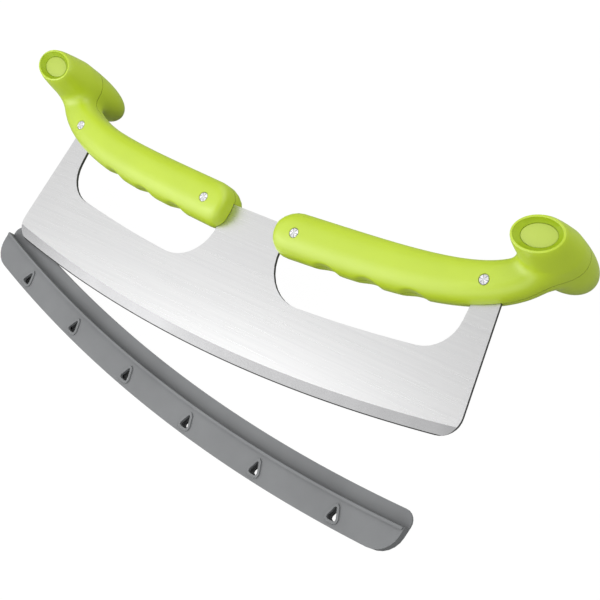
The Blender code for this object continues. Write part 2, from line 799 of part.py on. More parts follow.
def make_rivets():
    made = []
    for place, (x, z) in zip(("inner", "outer"), rivet_places()):
        for half, shape in (("front", rivet_front), ("back", rivet_back)):
            name = f"rivet_{place}_right_{half}"
            right = object_from(shape(x, z, name), name, PARTS)
            made += [right, mirrored(right, f"rivet_{place}_left_{half}")]
    return [finish(rivet, "rivet_steel", radians(30)) for rivet in made]


# Edge sheath, drawn where it is seated on the cutting edge


def sheath_outline(inset, depth, upper_corner):
    """The channel seen from the front: its bottom arc, ends and top arc, all moved in by the inset."""
    bottom = SHEATH_BOTTOM - inset
    top = SHEATH_BOTTOM - depth
    half = SHEATH_LENGTH / 2 - inset
    lower_corner = SHEATH_LOWER_CORNER - inset
    lower_x = half - lower_corner
    upper_x = half - upper_corner
    lower_turn = asin(lower_x / (bottom - lower_corner))
    upper_turn = asin(upper_x / (top + upper_corner))
    lower = (lower_x, fillet_height(lower_x, bottom - lower_corner))
    upper = (upper_x, fillet_height(upper_x, top + upper_corner))
    right = arc(lower, lower_corner, lower_turn - pi / 2, 0)[1:]
    right += arc(upper, upper_corner, 0, pi / 2 + upper_turn)
    end_x = bottom * sin(lower_turn)
    top_x = top * sin(upper_turn)
    low = circle_arc(bottom, -end_x, end_x)
    high = circle_arc(top, top_x, -top_x)[1:-1]
    return low + right + high + [(-x, z) for x, z in reversed(right)]


def band_outline(outer, inner, half_length):
    """A strip between two arcs, the same distance to both sides."""
    return circle_arc(outer, -half_length, half_length) + circle_arc(inner, half_length, -half_length)


def hole_outline(number, growth):
    """One drain hole, a rounded triangle that points away from the bottom of the channel."""
    turn = ((number - (HOLES - 1) / 2) * HOLE_PITCH + HOLE_SHIFT) / SHEATH_BOTTOM
    corners = (
        (-HOLE_WIDTH / 2, HOLE_LIFT, HOLE_BASE_ROUND),
        (HOLE_WIDTH / 2, HOLE_LIFT, HOLE_BASE_ROUND),
        (0, HOLE_LIFT + HOLE_HEIGHT, HOLE_TIP_ROUND),
    )
    outline = []
    for along, lift in grown(rounded(corners), growth) if growth else rounded(corners):
        reach = SHEATH_BOTTOM - lift
        x = reach * sin(turn) + along * cos(turn)
        outline.append((x, EDGE_RADIUS - reach * cos(turn) + along * sin(turn)))
    return outline


def make_sheath():
    inside = SHEATH_CHANNEL / 2
    face = inside + SHEATH_WALL
    rim = SHEATH_BOTTOM - SHEATH_FRONT_DEPTH
    whole = sheath_outline(0, SHEATH_BACK_DEPTH, SHEATH_UPPER_CORNER)
    sheath = object_from(plate([whole], -face, face, "edge_sheath"), "edge_sheath", PARTS)
    seat = -inside - SHEATH_WALL / 2
    bead_outline = band_outline(rim + BEAD_HEIGHT, rim - CLEAR, SHEATH_LENGTH / 2 - SHEATH_WALL / 2)
    bead = cutter_from(plate([bead_outline], -face - BEAD_PROUD, seat, "rim_bead"), "rim_bead")
    combine(sheath, bead, "UNION")
    cavity_outline = sheath_outline(SHEATH_WALL, SHEATH_BACK_DEPTH + CLEAR, 0)
    cavity = cutter_from(plate([cavity_outline], -inside, inside, "sheath_cavity"), "sheath_cavity")
    combine(sheath, cavity, "DIFFERENCE")
    above = band_outline(rim, rim - SHEATH_BACK_DEPTH, SHEATH_LENGTH / 2 + CLEAR)
    back = inside + SHEATH_STEP
    trim = cutter_from(plate([above], -face - CLEAR, back, "front_wall_trim"), "front_wall_trim")
    combine(sheath, trim, "DIFFERENCE")
    rims = [hole_outline(number, HOLE_RIM_WIDTH) for number in range(HOLES)]
    raised = cutter_from(plate(rims, -face - HOLE_RIM_PROUD, seat, "hole_rims"), "hole_rims")
    combine(sheath, raised, "UNION")
    holes = [hole_outline(number, 0) for number in range(HOLES)]
    through = cutter_from(plate(holes, -face - CLEAR, face + CLEAR, "drain_holes"), "drain_holes")
    combine(sheath, through, "DIFFERENCE")
    return finish(sheath, "grey", radians(25))


def sheath_pole():
    """The point of the knife's plane about which one turn carries the sheath from beside the edge onto it."""
    beside = Vector((SHEATH_SHIFT, EDGE_RADIUS - SHEATH_DROP))
    seated = Vector((0, EDGE_RADIUS))
    step = seated - beside
    return (beside + seated) / 2 + Vector((-step.y, step.x)) / (2 * tan(SHEATH_TURN / 2))


def lay_sheath_beside(sheath):
    """Turns the sheath off the edge, and puts its origin and its parent on the axis of that turn."""
    pole = sheath_pole()
    axis = Vector((pole.x, 0, pole.y))
    # Seen from the front, a turn about +Y is clockwise.
    turn = Matrix.Rotation(SHEATH_TURN, 4, "Y")
    sheath.data.transform(turn @ Matrix.Translation(-axis))
    hinge = bpy.data.objects.new("sheath_hinge", None)
    PARTS.objects.link(hinge)
    hinge.location = axis
    sheath.parent = hinge
    return hinge


# Lying on its back


def points_of(parts):
    bpy.context.view_layer.update()
    return np.array([part.matrix_world @ vert.co for part in parts for vert in part.data.vertices])


def resting_tilt(horns, sheath):
    """How far the knife leans when it lies on its horns and on the lower edge of the sheath."""

    def lowest(points, tilt):
        return np.min(points[:, 2] * sin(tilt) - points[:, 1] * cos(tilt))

    low, high = 0, pi / 3
    for _ in range(40):
        middle = (low + high) / 2
        if lowest(horns, middle) < lowest(sheath, middle):
            low = middle
        else:
            high = middle
    return low


def lay_on_back(frame, horns, sheath, parts):
    tilt = resting_tilt(points_of(horns), points_of([sheath]))
    frame.rotation_euler.x = tilt - pi / 2
    points = points_of(parts)
    low, high = points.min(axis=0), points.max(axis=0)
    frame.location = (-(low[0] + high[0]) / 2, -(low[1] + high[1]) / 2, -low[2])
    bpy.context.view_layer.update()


TUBE_RADIUS = RIVET_PIN_RADIUS + GAP + RIVET_TUBE_WALL
HEAD_BACK = HALF_DEPTH + RIVET_HEAD_PROUD - RIVET_HEAD_THICKNESS
SHEATH_BOTTOM = EDGE_RADIUS + EDGE_CLEARANCE + SHEATH_WALL

clear_scene()
PARTS = new_collection("pizza_rocker_knife")
CUTTERS = new_collection("cutters")
CUTTERS.hide_render = True

blade = make_blade()
handles = make_handles()
plugs = make_plugs()
rivets = make_rivets()
edge_sheath = make_sheath()
sheath_hinge = lay_sheath_beside(edge_sheath)

knife_frame = bpy.data.objects.new("knife_frame", None)
PARTS.objects.link(knife_frame)
for item in [blade, sheath_hinge] + handles + plugs + rivets:
    item.parent = knife_frame
lay_on_back(knife_frame, handles, edge_sheath, [blade, edge_sheath] + handles + plugs + rivets)
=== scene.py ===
"""Pizza rocker knife with its edge sheath, dressed for the render.

Each solid is drawn again with finer facets, in the knife's own frame: +X along the blade, +Y towards its
back, +Z up to the handles, with the lowest point of the cutting edge at the origin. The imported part's mount
says where that frame lies. The sizes, in metres, are the part's, apart from GRIP_END_EDGE and GROOVE_BLEND.
"""

import json
from math import asin, atan2, cos, pi, radians, sin, sqrt, tan

import bmesh
import bpy
import numpy as np
from mathutils import Matrix, Vector
from mathutils.bvhtree import BVHTree

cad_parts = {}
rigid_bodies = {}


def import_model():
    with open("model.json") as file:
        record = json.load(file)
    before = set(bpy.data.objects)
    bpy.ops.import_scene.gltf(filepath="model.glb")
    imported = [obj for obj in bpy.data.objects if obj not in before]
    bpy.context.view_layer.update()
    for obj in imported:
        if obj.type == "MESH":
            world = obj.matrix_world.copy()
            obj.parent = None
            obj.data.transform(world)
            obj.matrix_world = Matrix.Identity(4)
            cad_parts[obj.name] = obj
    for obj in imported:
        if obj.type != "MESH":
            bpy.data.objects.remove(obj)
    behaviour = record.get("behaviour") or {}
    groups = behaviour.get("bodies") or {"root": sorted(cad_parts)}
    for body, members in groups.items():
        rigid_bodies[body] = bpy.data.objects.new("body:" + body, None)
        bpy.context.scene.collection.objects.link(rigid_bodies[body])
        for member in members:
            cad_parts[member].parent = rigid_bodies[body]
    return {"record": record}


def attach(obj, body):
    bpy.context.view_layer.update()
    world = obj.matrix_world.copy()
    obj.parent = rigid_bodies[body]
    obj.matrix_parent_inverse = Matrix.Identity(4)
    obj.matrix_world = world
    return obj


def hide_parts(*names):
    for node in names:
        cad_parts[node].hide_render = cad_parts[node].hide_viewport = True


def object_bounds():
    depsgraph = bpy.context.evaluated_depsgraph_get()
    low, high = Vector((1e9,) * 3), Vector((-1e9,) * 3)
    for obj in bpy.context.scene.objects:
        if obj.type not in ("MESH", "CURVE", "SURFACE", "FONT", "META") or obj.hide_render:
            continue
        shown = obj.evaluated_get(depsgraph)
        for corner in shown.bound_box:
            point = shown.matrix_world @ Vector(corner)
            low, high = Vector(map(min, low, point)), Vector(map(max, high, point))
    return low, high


for item in list(bpy.data.objects):
    bpy.data.objects.remove(item, do_unlink=True)
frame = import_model()
cad_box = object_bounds()

# Blade
BLADE_LENGTH = 0.3556
BLADE_THICKNESS = 0.002
BLADE_TOP = 0.0872
BLADE_SIDE_RISE = 0.0158
EDGE_RADIUS = 1.0
BEVEL_WIDTH = 0.0065
EDGE_LAND = 0.0002
SIDE_LEAN = radians(8)
BLADE_CORNER = 0.0125
TANG_HEIGHT = 0.009
TANG_INSET = 0.0082
GRIND_OVERRUN = 0.2
GRIND_REACH = 1.15

# Finger windows
BRIDGE_WIDTH = 0.0502
WINDOW_FLOOR = 0.0436
WINDOW_MARGIN = 0.0246
WINDOW_INNER_CORNER = 0.027
WINDOW_OUTER_CORNER = 0.022

# Handle bar
GRIP_START = 0.0207
GRIP_DROP = 0.0046
GRIP_HEIGHT = 0.0272
NECK_HEIGHT = 0.0188
NECK_TAPER = 3
HANDLE_DEPTH = 0.023
GRIP_RUN = 0.0835
GRIP_RISE = 0.0048
NECK_SWEEP = 0.0095
NECK_RISE = 0.0382
GRIP_UPPER_CORNER = 0.0134
GRIP_LOWER_CORNER = 0.009
GRIP_END_EDGE = 0.0035
UPPER_SHOULDER = 3.4
LOWER_SHOULDER = 2.4

# Finger grooves
GROOVES = 3
GROOVE_FIRST = 0.0603
GROOVE_PITCH = 0.029
GROOVE_DEPTH = 0.0023
GROOVE_RADIUS = 0.017
GROOVE_BLEND = 0.0006

# Palm horn
HORN_OVERHANG = 0.0082
HORN_RISE = 0.0217
HORN_TILT = radians(10.3)
HORN_LEAN = 0.02
HORN_FRONT = 0.0322
HORN_BACK = 0.0389
HORN_WAIST = 0.0102
HORN_LENGTH = 0.0358
HORN_WIDTH = 0.0286
HORN_FLARE = 0.75
HORN_DOME = 2.7
RIM_LENGTH = 0.0306
RIM_WIDTH = 0.021
RIM_ROUND = 0.0013
HORN_BLEND = 0.006

# Plug in the horn's front end
PLUG_LENGTH = 0.0201
PLUG_WIDTH = 0.0128
PLUG_RECESS = 0.0026
PLUG_THICKNESS = 0.003
RIM_LIP = 0.0017

# Rivets
RIVET_INNER_X = 0.0364
RIVET_INNER_RISE = -0.0003
RIVET_OUTER_INSET = 0.0185
RIVET_OUTER_RISE = -0.0012
RIVET_HEAD_RADIUS = 0.00285
RIVET_HEAD_THICKNESS = 0.0016
RIVET_HEAD_PROUD = 0.0002
RIVET_HEAD_ROUND = 0.0003
RIVET_TUBE_WALL = 0.0005
RIVET_PIN_RADIUS = 0.0012
RIVET_PIN_LENGTH = 0.016

# Edge sheath
SHEATH_OVERHANG = 0.003
SHEATH_WALL = 0.0015
SHEATH_CHANNEL = 0.003
SHEATH_STEP = 0.00005
SHEATH_FRONT_DEPTH = 0.0173
SHEATH_BACK_DEPTH = 0.0264
SHEATH_LOWER_CORNER = 0.015
SHEATH_UPPER_CORNER = 0.0065
BEAD_HEIGHT = 0.0016
BEAD_PROUD = 0.001
HOLES = 6
HOLE_PITCH = 0.0573
HOLE_SHIFT = 0.0002
HOLE_LIFT = 0.0036
HOLE_HEIGHT = 0.0092
HOLE_WIDTH = 0.0074
HOLE_BASE_ROUND = 0.0013
HOLE_TIP_ROUND = 0.0008
HOLE_RIM_WIDTH = 0.0014
HOLE_RIM_PROUD = 0.0007

# Where the sheath lies beside the edge: its turn, and how far its arc's centre is from the seated place
SHEATH_TURN = radians(7.755)
SHEATH_SHIFT = 0.1279
SHEATH_DROP = 0.0514

# Fits
GAP = 0.0003
EDGE_CLEARANCE = 0.0005

# Fineness of the facets
EDGE_STEPS = 120
TANG_STEPS = 40
SIDE_SEGMENTS = 20
BAR_STATIONS = 96
JOINT_STATIONS = 6
JOINT_RUN = 0.007
JOINT_MARGIN = 0.002
REFERENCE_FINENESS = 3
RIVET_STEPS = 48
AXIS_SAMPLES = 201
TANGENT_SHARE = 0.01
QUARTER_SAMPLES = 65
END_STATIONS = 7
RIM_STATIONS = 3
ROUNDING_STATIONS = 5
BLADE_CORNER_STEPS = 8
WINDOW_INNER_STEPS = 9
WINDOW_FLOOR_STEPS = 10
WINDOW_OUTER_STEPS = 8
WINDOW_TOP_STATIONS = 14

# Mending of the meshes: how near counts as touching, and how the handle's points are moved onto its surface
SLIVER = 0.00002
TOUCHING = 1e-7
SETTLE_ROUNDS = 6
LEAST_SLOPE = 0.25

# Angles between faces from which an edge is drawn sharp
BLADE_CREASE = radians(3)
GRIP_CREASE = radians(40)
SMALL_CREASE = radians(30)
SHEATH_CREASE = radians(25)

# Softened edges
LIP_ROUND = 0.0006
PLUG_ROUND = 0.0005
PLUG_SWELL = 0.0002
HONED_WIDTH = 0.0006
HONED_LAND = 0.00003

# Sizes that follow from the ones above
BLADE_SIDE_TOP = BLADE_TOP + BLADE_SIDE_RISE
WINDOW_END = BLADE_LENGTH / 2 - WINDOW_MARGIN
GRIP_START_HEIGHT = BLADE_TOP - GRIP_DROP
HORN_X = BLADE_LENGTH / 2 + HORN_OVERHANG
HORN_HEIGHT = BLADE_SIDE_TOP + HORN_RISE
RIVET_OUTER_X = BLADE_LENGTH / 2 - RIVET_OUTER_INSET
SHEATH_LENGTH = BLADE_LENGTH + 2 * SHEATH_OVERHANG
HALF_DEPTH = HANDLE_DEPTH / 2
HALF_BLADE = BLADE_THICKNESS / 2
TUBE_RADIUS = RIVET_PIN_RADIUS + GAP + RIVET_TUBE_WALL
HEAD_BACK = HALF_DEPTH + RIVET_HEAD_PROUD - RIVET_HEAD_THICKNESS
SHEATH_BOTTOM = EDGE_RADIUS + EDGE_CLEARANCE + SHEATH_WALL

# How far cutters reach past what they cut, and the height of the mount on the blade's front face
CLEAR = 0.005
MOUNT_HEIGHT = 0.025


# Mesh helpers


def object_from(mesh, name, collection):
    made = bpy.data.objects.new(name, mesh)
    collection.objects.link(made)
    return made


def cutter_from(mesh, name):
    made = object_from(mesh, name, CUTTERS)
    made.hide_render = True
    made.display_type = "WIRE"
    return made


def tidied(bm, mesh, weld=0.000001):
    """Writes the bmesh to the mesh, with doubled points welded and every face turned outwards."""
    bmesh.ops.remove_doubles(bm, verts=bm.verts, dist=weld)
    bmesh.ops.recalc_face_normals(bm, faces=bm.faces)
    bm.to_mesh(mesh)
    bm.free()
    return mesh


def evaluated_mesh(source, name):
    graph = bpy.context.evaluated_depsgraph_get()
    mesh = bpy.data.meshes.new_from_object(source.evaluated_get(graph))
    mesh.name = name
    return mesh


def mesh_of_guide(guide, name):
    """The closed mesh that a curve or a turned profile stands for, where it lies. The guide is removed."""
    bpy.context.view_layer.update()
    mesh = evaluated_mesh(guide, name)
    mesh.transform(guide.matrix_world)
    bpy.data.objects.remove(guide, do_unlink=True)
    bm = bmesh.new()
    bm.from_mesh(mesh)
    return tidied(bm, mesh)


def combine(part, other, operation):
    """Joins the other solid to the part, or cuts it away, and keeps what comes out as the part's mesh."""
    boolean = part.modifiers.new(other.name, "BOOLEAN")
    boolean.operation = operation
    boolean.solver = "EXACT"
    boolean.object = other
    mesh = evaluated_mesh(part, part.name)
    bm = bmesh.new()
    bm.from_mesh(mesh)
    part.modifiers.clear()
    part.data = tidied(bm, mesh, SLIVER)


def shaded(piece, crease):
    piece.data.shade_smooth()
    piece.data.set_sharp_from_angle(angle=crease)
    return piece


def mirrored(source, name):
    """A copy of the part on the other side of the knife."""
    mesh = source.data.copy()
    mesh.name = name
    mesh.transform(Matrix.Scale(-1, 4, (1, 0, 0)))
    mesh.flip_normals()
    return object_from(mesh, name, PARTS)


# Flat outlines, as lists of (x, z)


def arc(centre, radius, start, end, steps=6):
    turns = np.linspace(start, end, steps + 1 if radius else 1)
    return [(centre[0] + radius * cos(t), centre[1] + radius * sin(t)) for t in turns]


def rounded(corners, steps=2):
    """The polygon through corners (x, z, radius), each rounded by its radius."""
    points = []
    for index, (x, z, radius) in enumerate(corners):
        here = Vector((x, z))
        before = (Vector(corners[index - 1][:2]) - here).normalized()
        after = (Vector(corners[(index + 1) % len(corners)][:2]) - here).normalized()
        half = before.angle(after) / 2
        centre = here + (before + after).normalized() * radius / sin(half)
        first = here + before * radius / tan(half) - centre
        last = here + after * radius / tan(half) - centre
        start = atan2(first.y, first.x)
        sweep = (atan2(last.y, last.x) - start + pi) % (2 * pi) - pi
        points += arc(centre, radius, start, start + sweep, steps)
    return points


def grown(outline, distance):
    """The closed outline moved outwards by the distance, whichever way round it runs."""
    ring = np.array(outline)
    before = ring - np.roll(ring, 1, axis=0)
    after = np.roll(ring, -1, axis=0) - ring
    before /= np.linalg.norm(before, axis=1)[:, None]
    after /= np.linalg.norm(after, axis=1)[:, None]
    following = np.roll(ring, -1, axis=0)
    area = np.sum(ring[:, 0] * following[:, 1] - ring[:, 1] * following[:, 0])
    along = before + after
    outward = np.stack([along[:, 1], -along[:, 0]], axis=1) * np.sign(area)
    outward /= np.linalg.norm(outward, axis=1)[:, None]
    mitre = np.sqrt((1 + np.sum(before * after, axis=1)) / 2)
    return [tuple(point) for point in ring + outward * distance / mitre[:, None]]


def fillet_height(x, reach):
    """Height of a fillet's centre that lies at x and at this reach from the centre of the cutting edge."""
    return EDGE_RADIUS - sqrt(reach**2 - x**2)


def circle_arc(radius, start_x, end_x, steps=EDGE_STEPS):
    """Points between two values of x on the lower side of a circle round the centre of the cutting edge."""
    turns = np.linspace(asin(start_x / radius), asin(end_x / radius), steps + 1)
    return [(radius * sin(t), EDGE_RADIUS - radius * cos(t)) for t in turns]


def plate(outlines, front, back, name):
    """A flat solid between two depths. An outline inside another is a hole in it."""
    curve = bpy.data.curves.new(name, "CURVE")
    curve.dimensions = "2D"
    curve.fill_mode = "BOTH"
    curve.extrude = (back - front) / 2
    for outline in outlines:
        spline = curve.splines.new("POLY")
        spline.points.add(len(outline) - 1)
        for point, (x, z) in zip(spline.points, outline):
            point.co = (x, z, 0, 1)
        spline.use_cyclic_u = True
    guide = object_from(curve, name, CUTTERS)
    upright = Matrix.Rotation(pi / 2, 4, "X")
    guide.matrix_world = Matrix.Translation((0, (front + back) / 2, 0)) @ upright
    return mesh_of_guide(guide, name)


# Lofted and turned solids


def loft(rings, name, apex=None):
    """A closed solid through rings of equal counts of points. Fans close its ends, the last at the apex."""
    bm = bmesh.new()
    rows = [[bm.verts.new(point) for point in ring] for ring in rings]
    for row, following in zip(rows, rows[1:]):
        skin(bm, row, following)
    close_with_fan(bm, rows[0])
    close_with_fan(bm, rows[-1], apex)
    return tidied(bm, bpy.data.meshes.new(name))


def skin(bm, row, following):
    for index in range(len(row)):
        bm.faces.new((row[index - 1], row[index], following[index], following[index - 1]))


def close_with_fan(bm, row, apex=None):
    centre = bm.verts.new(apex or sum((vert.co for vert in row), Vector()) / len(row))
    for index in range(len(row)):
        bm.faces.new((row[index - 1], row[index], centre))


def turned(profile, x, z, name):
    """A solid turned about the line along Y through (x, z). The profile holds (radius, y), axis to axis."""
    guide_mesh = bpy.data.meshes.new(name)
    # The Screw turns about the object's own Z, which the rotation lays along -Y.
    points = [(radius, 0, -y) for radius, y in profile]
    guide_mesh.from_pydata(points, [(index, index + 1) for index in range(len(points) - 1)], [])
    guide = object_from(guide_mesh, name, CUTTERS)
    screw = guide.modifiers.new("turn", "SCREW")
    screw.steps = RIVET_STEPS
    screw.render_steps = RIVET_STEPS
    screw.use_merge_vertices = True
    screw.merge_threshold = 0.00001
    guide.matrix_world = Matrix.Translation((x, 0, z)) @ Matrix.Rotation(pi / 2, 4, "X")
    return mesh_of_guide(guide, name)


# Handle axis and sections


def bezier(points, share):
    rest = 1 - share
    weights = (rest**3, 3 * rest**2 * share, 3 * rest * share**2, share**3)
    return sum((Vector(point) * weight for weight, point in zip(weights, points)), Vector((0, 0)))


AXIS_POINTS = (
    (GRIP_START, GRIP_START_HEIGHT),
    (GRIP_START + GRIP_RUN, GRIP_START_HEIGHT + GRIP_RISE),
    (HORN_X - NECK_SWEEP, HORN_HEIGHT - NECK_RISE),
    (HORN_X, HORN_HEIGHT),
)
AXIS_SHARES = np.linspace(0, 1, AXIS_SAMPLES)
AXIS_TRACK = np.array([bezier(AXIS_POINTS, share) for share in AXIS_SHARES])
AXIS_STEPS = np.linalg.norm(np.diff(AXIS_TRACK, axis=0), axis=1)
AXIS_DISTANCES = np.concatenate([[0], np.cumsum(AXIS_STEPS)])
AXIS_LENGTH = AXIS_DISTANCES[-1]


def axis_height(x):
    return float(np.interp(x, AXIS_TRACK[:, 0], AXIS_TRACK[:, 1]))


def axis_at(distance):
    """The point of the handle's axis at a distance from its inner end, and the axis's direction there."""
    share = float(np.interp(distance, AXIS_DISTANCES, AXIS_SHARES))
    ahead = bezier(AXIS_POINTS, min(share + TANGENT_SHARE, 1))
    behind = bezier(AXIS_POINTS, max(share - TANGENT_SHARE, 0))
    return bezier(AXIS_POINTS, share), (ahead - behind).normalized()


def rounded_end(size, corner, distance):
    """A half size that grows from the end along a round corner."""
    short = max(corner - distance, 0)
    return size - corner + sqrt(corner**2 - short**2)


def bar_half_height(distance):
    thinning = (GRIP_HEIGHT - NECK_HEIGHT) * (distance / AXIS_LENGTH) ** NECK_TAPER
    return (GRIP_HEIGHT - thinning) / 2


def even_ring(curve, segments):
    """Points spread evenly over each quarter of a closed curve, which curve(turn) gives."""
    ring = []
    for quarter in range(4):
        turns = np.linspace(quarter, quarter + 1, QUARTER_SAMPLES) * pi / 2
        track = np.array([curve(turn) for turn in turns])
        along = np.concatenate([[0], np.cumsum(np.linalg.norm(np.diff(track, axis=0), axis=1))])
        wanted = np.linspace(0, along[-1], segments + 1)[:-1]
        ring += list(zip(np.interp(wanted, along, track[:, 0]), np.interp(wanted, along, track[:, 1])))
    return ring


def bar_ring(distance, segments):
    """Section of the bar: from the middle of the front over the top, the back and the underside."""
    centre, along = axis_at(distance)
    up = Vector((-along.y, along.x))
    half_height = bar_half_height(distance)
    upper = rounded_end(half_height, GRIP_UPPER_CORNER, distance)
    lower = rounded_end(half_height, GRIP_LOWER_CORNER, distance)
    half_depth = rounded_end(HALF_DEPTH, GRIP_END_EDGE, distance)

    def section(turn):
        power = 2 / (UPPER_SHOULDER if sin(turn) > 0 else LOWER_SHOULDER)
        across = -abs(cos(turn)) ** power * (1 if cos(turn) > 0 else -1) * half_depth
        rise = abs(sin(turn)) ** power * (upper if sin(turn) > 0 else -lower)
        return across, rise

    ring = []
    for across, rise in even_ring(section, segments):
        place = centre + up * rise
        ring.append((place.x, across, place.y))
    return ring


def bar_distances(last, stations):
    """Distances of the bar's sections, close together round its inner end."""
    ending = [GRIP_UPPER_CORNER * (1 - cos(turn)) for turn in np.linspace(0, pi / 2, END_STATIONS)]
    return ending[:-1] + list(np.linspace(ending[-1], last, stations))


def horn_centre(y):
    return HORN_HEIGHT - HORN_LEAN * (y + HORN_FRONT)


def horn_sizes(y):
    """Half length and half width of the horn's oval at a depth."""
    if y < -HORN_FRONT + RIM_ROUND:
        inset = RIM_ROUND - sqrt(max(RIM_ROUND**2 - (RIM_ROUND - HORN_FRONT - y) ** 2, 0))
        return RIM_LENGTH / 2 - inset, RIM_WIDTH / 2 - inset
    if y < -HORN_WAIST:
        share = max((y + HORN_FRONT - RIM_ROUND) / (HORN_FRONT - RIM_ROUND - HORN_WAIST), 0)
        flare = share**HORN_FLARE
        length = RIM_LENGTH + (HORN_LENGTH - RIM_LENGTH) * flare
        return length / 2, (RIM_WIDTH + (HORN_WIDTH - RIM_WIDTH) * flare) / 2
    share = min((y + HORN_WAIST) / (HORN_BACK + HORN_WAIST), 1)
    scale = (1 - max(share, 0) ** HORN_DOME) ** (1 / HORN_DOME)
    return scale * HORN_LENGTH / 2, scale * HORN_WIDTH / 2


def oval_point(half_length, half_width, turn, y):
    along = half_length * cos(turn)
    across = half_width * sin(turn)
    x = HORN_X + along * cos(HORN_TILT) - across * sin(HORN_TILT)
    z = horn_centre(y) + along * sin(HORN_TILT) + across * cos(HORN_TILT)
    return x, z


def horn_ring(y, segments):
    """Oval of the horn at a depth. It starts in front of the bar and runs the way the bar's section does."""
    half_length, half_width = horn_sizes(y)
    toward = -axis_at(AXIS_LENGTH)[1]
    towards_bar = atan2(toward.y, toward.x) - HORN_TILT
    first = atan2(sin(towards_bar) / half_width, cos(towards_bar) / half_length) if half_width else 0
    turns = first - np.arange(4 * segments) * pi / 2 / segments
    return [(x, y, z) for x, z in (oval_point(half_length, half_width, turn, y) for turn in turns)]


def horn_depths(patch, segments):
    """Depths of the horn's ovals, the ones from -patch to patch being evenly spaced for the bar to join."""
    rim = [RIM_ROUND * (1 - cos(turn)) - HORN_FRONT for turn in np.linspace(0, pi / 2, RIM_STATIONS)]
    front = list(np.linspace(rim[-1], -patch, segments * 5 // 8 + 1)[1:-1])
    middle = list(np.linspace(-patch, patch, segments + 1))
    turns = np.linspace(0, pi / 2, segments + 1)[1:-1]
    back = [patch + (HORN_BACK - patch) * sin(turn) for turn in turns]
    return rim + front + middle + back


# Handle skin


def signed_distance(tree, point):
    """Distance from a closed surface, below zero inside it, and the direction in which it grows."""
    nearest, normal, _, distance = tree.find_nearest(point)
    if distance < TOUCHING:
        return 0, normal
    side = 1 if (point - nearest).dot(normal) > 0 else -1
    return side * distance, (point - nearest) / (side * distance)


def joined(first, second, width):
    """The union of two solids, each given as its distance and direction, with a fillet of this width."""
    share = min(max(0.5 + (second[0] - first[0]) / (2 * width), 0), 1)
    distance = second[0] * (1 - share) + first[0] * share - width * share * (1 - share)
    return distance, second[1] * (1 - share) + first[1] * share


def cut_by(field, cutter, width):
    """The first solid without the second, with its new edges rounded by this width."""
    distance, direction = joined((-field[0], -field[1]), cutter, width)
    return -distance, -direction


def groove_centres():
    """Where the axes of the finger grooves cross the handle's mid-plane."""
    centres = []
    for index in range(GROOVES):
        x = GROOVE_FIRST + index * GROOVE_PITCH
        distance = float(np.interp(x, AXIS_TRACK[:, 0], AXIS_DISTANCES))
        centre, along = axis_at(distance)
        down = Vector((along.y, -along.x))
        centres.append(centre + down * (bar_half_height(distance) + GROOVE_RADIUS - GROOVE_DEPTH))
    return centres


def tree_of(mesh):
    points = [vert.co.copy() for vert in mesh.vertices]
    return BVHTree.FromPolygons(points, [tuple(face.vertices) for face in mesh.polygons])


def bar_reference(segments):
    rings = [bar_ring(distance, segments) for distance in bar_distances(AXIS_LENGTH, 3 * BAR_STATIONS)]
    return loft(rings, "bar_reference")


def horn_reference(segments):
    rings = [horn_ring(y, segments) for y in horn_depths(HALF_DEPTH, segments)]
    return loft(rings, "horn_reference", Vector((HORN_X, HORN_BACK, horn_centre(HORN_BACK))))


def settle(bm):
    """Moves every point of the handle onto the bar and horn with their fillet, cut by the finger grooves."""
    bar = tree_of(bar_reference(SIDE_SEGMENTS * REFERENCE_FINENESS))
    horn = tree_of(horn_reference(SIDE_SEGMENTS * REFERENCE_FINENESS))
    grooves = groove_centres()
    for vert in bm.verts:
        for _ in range(SETTLE_ROUNDS):
            field = joined(signed_distance(bar, vert.co), signed_distance(horn, vert.co), HORN_BLEND)
            for centre in grooves:
                away = Vector((vert.co.x - centre.x, 0, vert.co.z - centre.y))
                field = cut_by(field, (away.length - GROOVE_RADIUS, away.normalized()), GROOVE_BLEND)
            distance, direction = field
            vert.co -= direction * distance / max(direction.length_squared, LEAST_SLOPE)


def opening_loop(rows, segments):
    """The horn's points round its opening for the bar, in the order of the bar's section."""
    half = segments // 2
    loop = []
    for index in range(4 * segments):
        side, step = divmod(index + half, segments)
        corners = ((step - half, 0), (half, step), (half - step, segments), (-half, segments - step))
        column, row = corners[side % 4]
        loop.append(rows[row][column])
    return loop


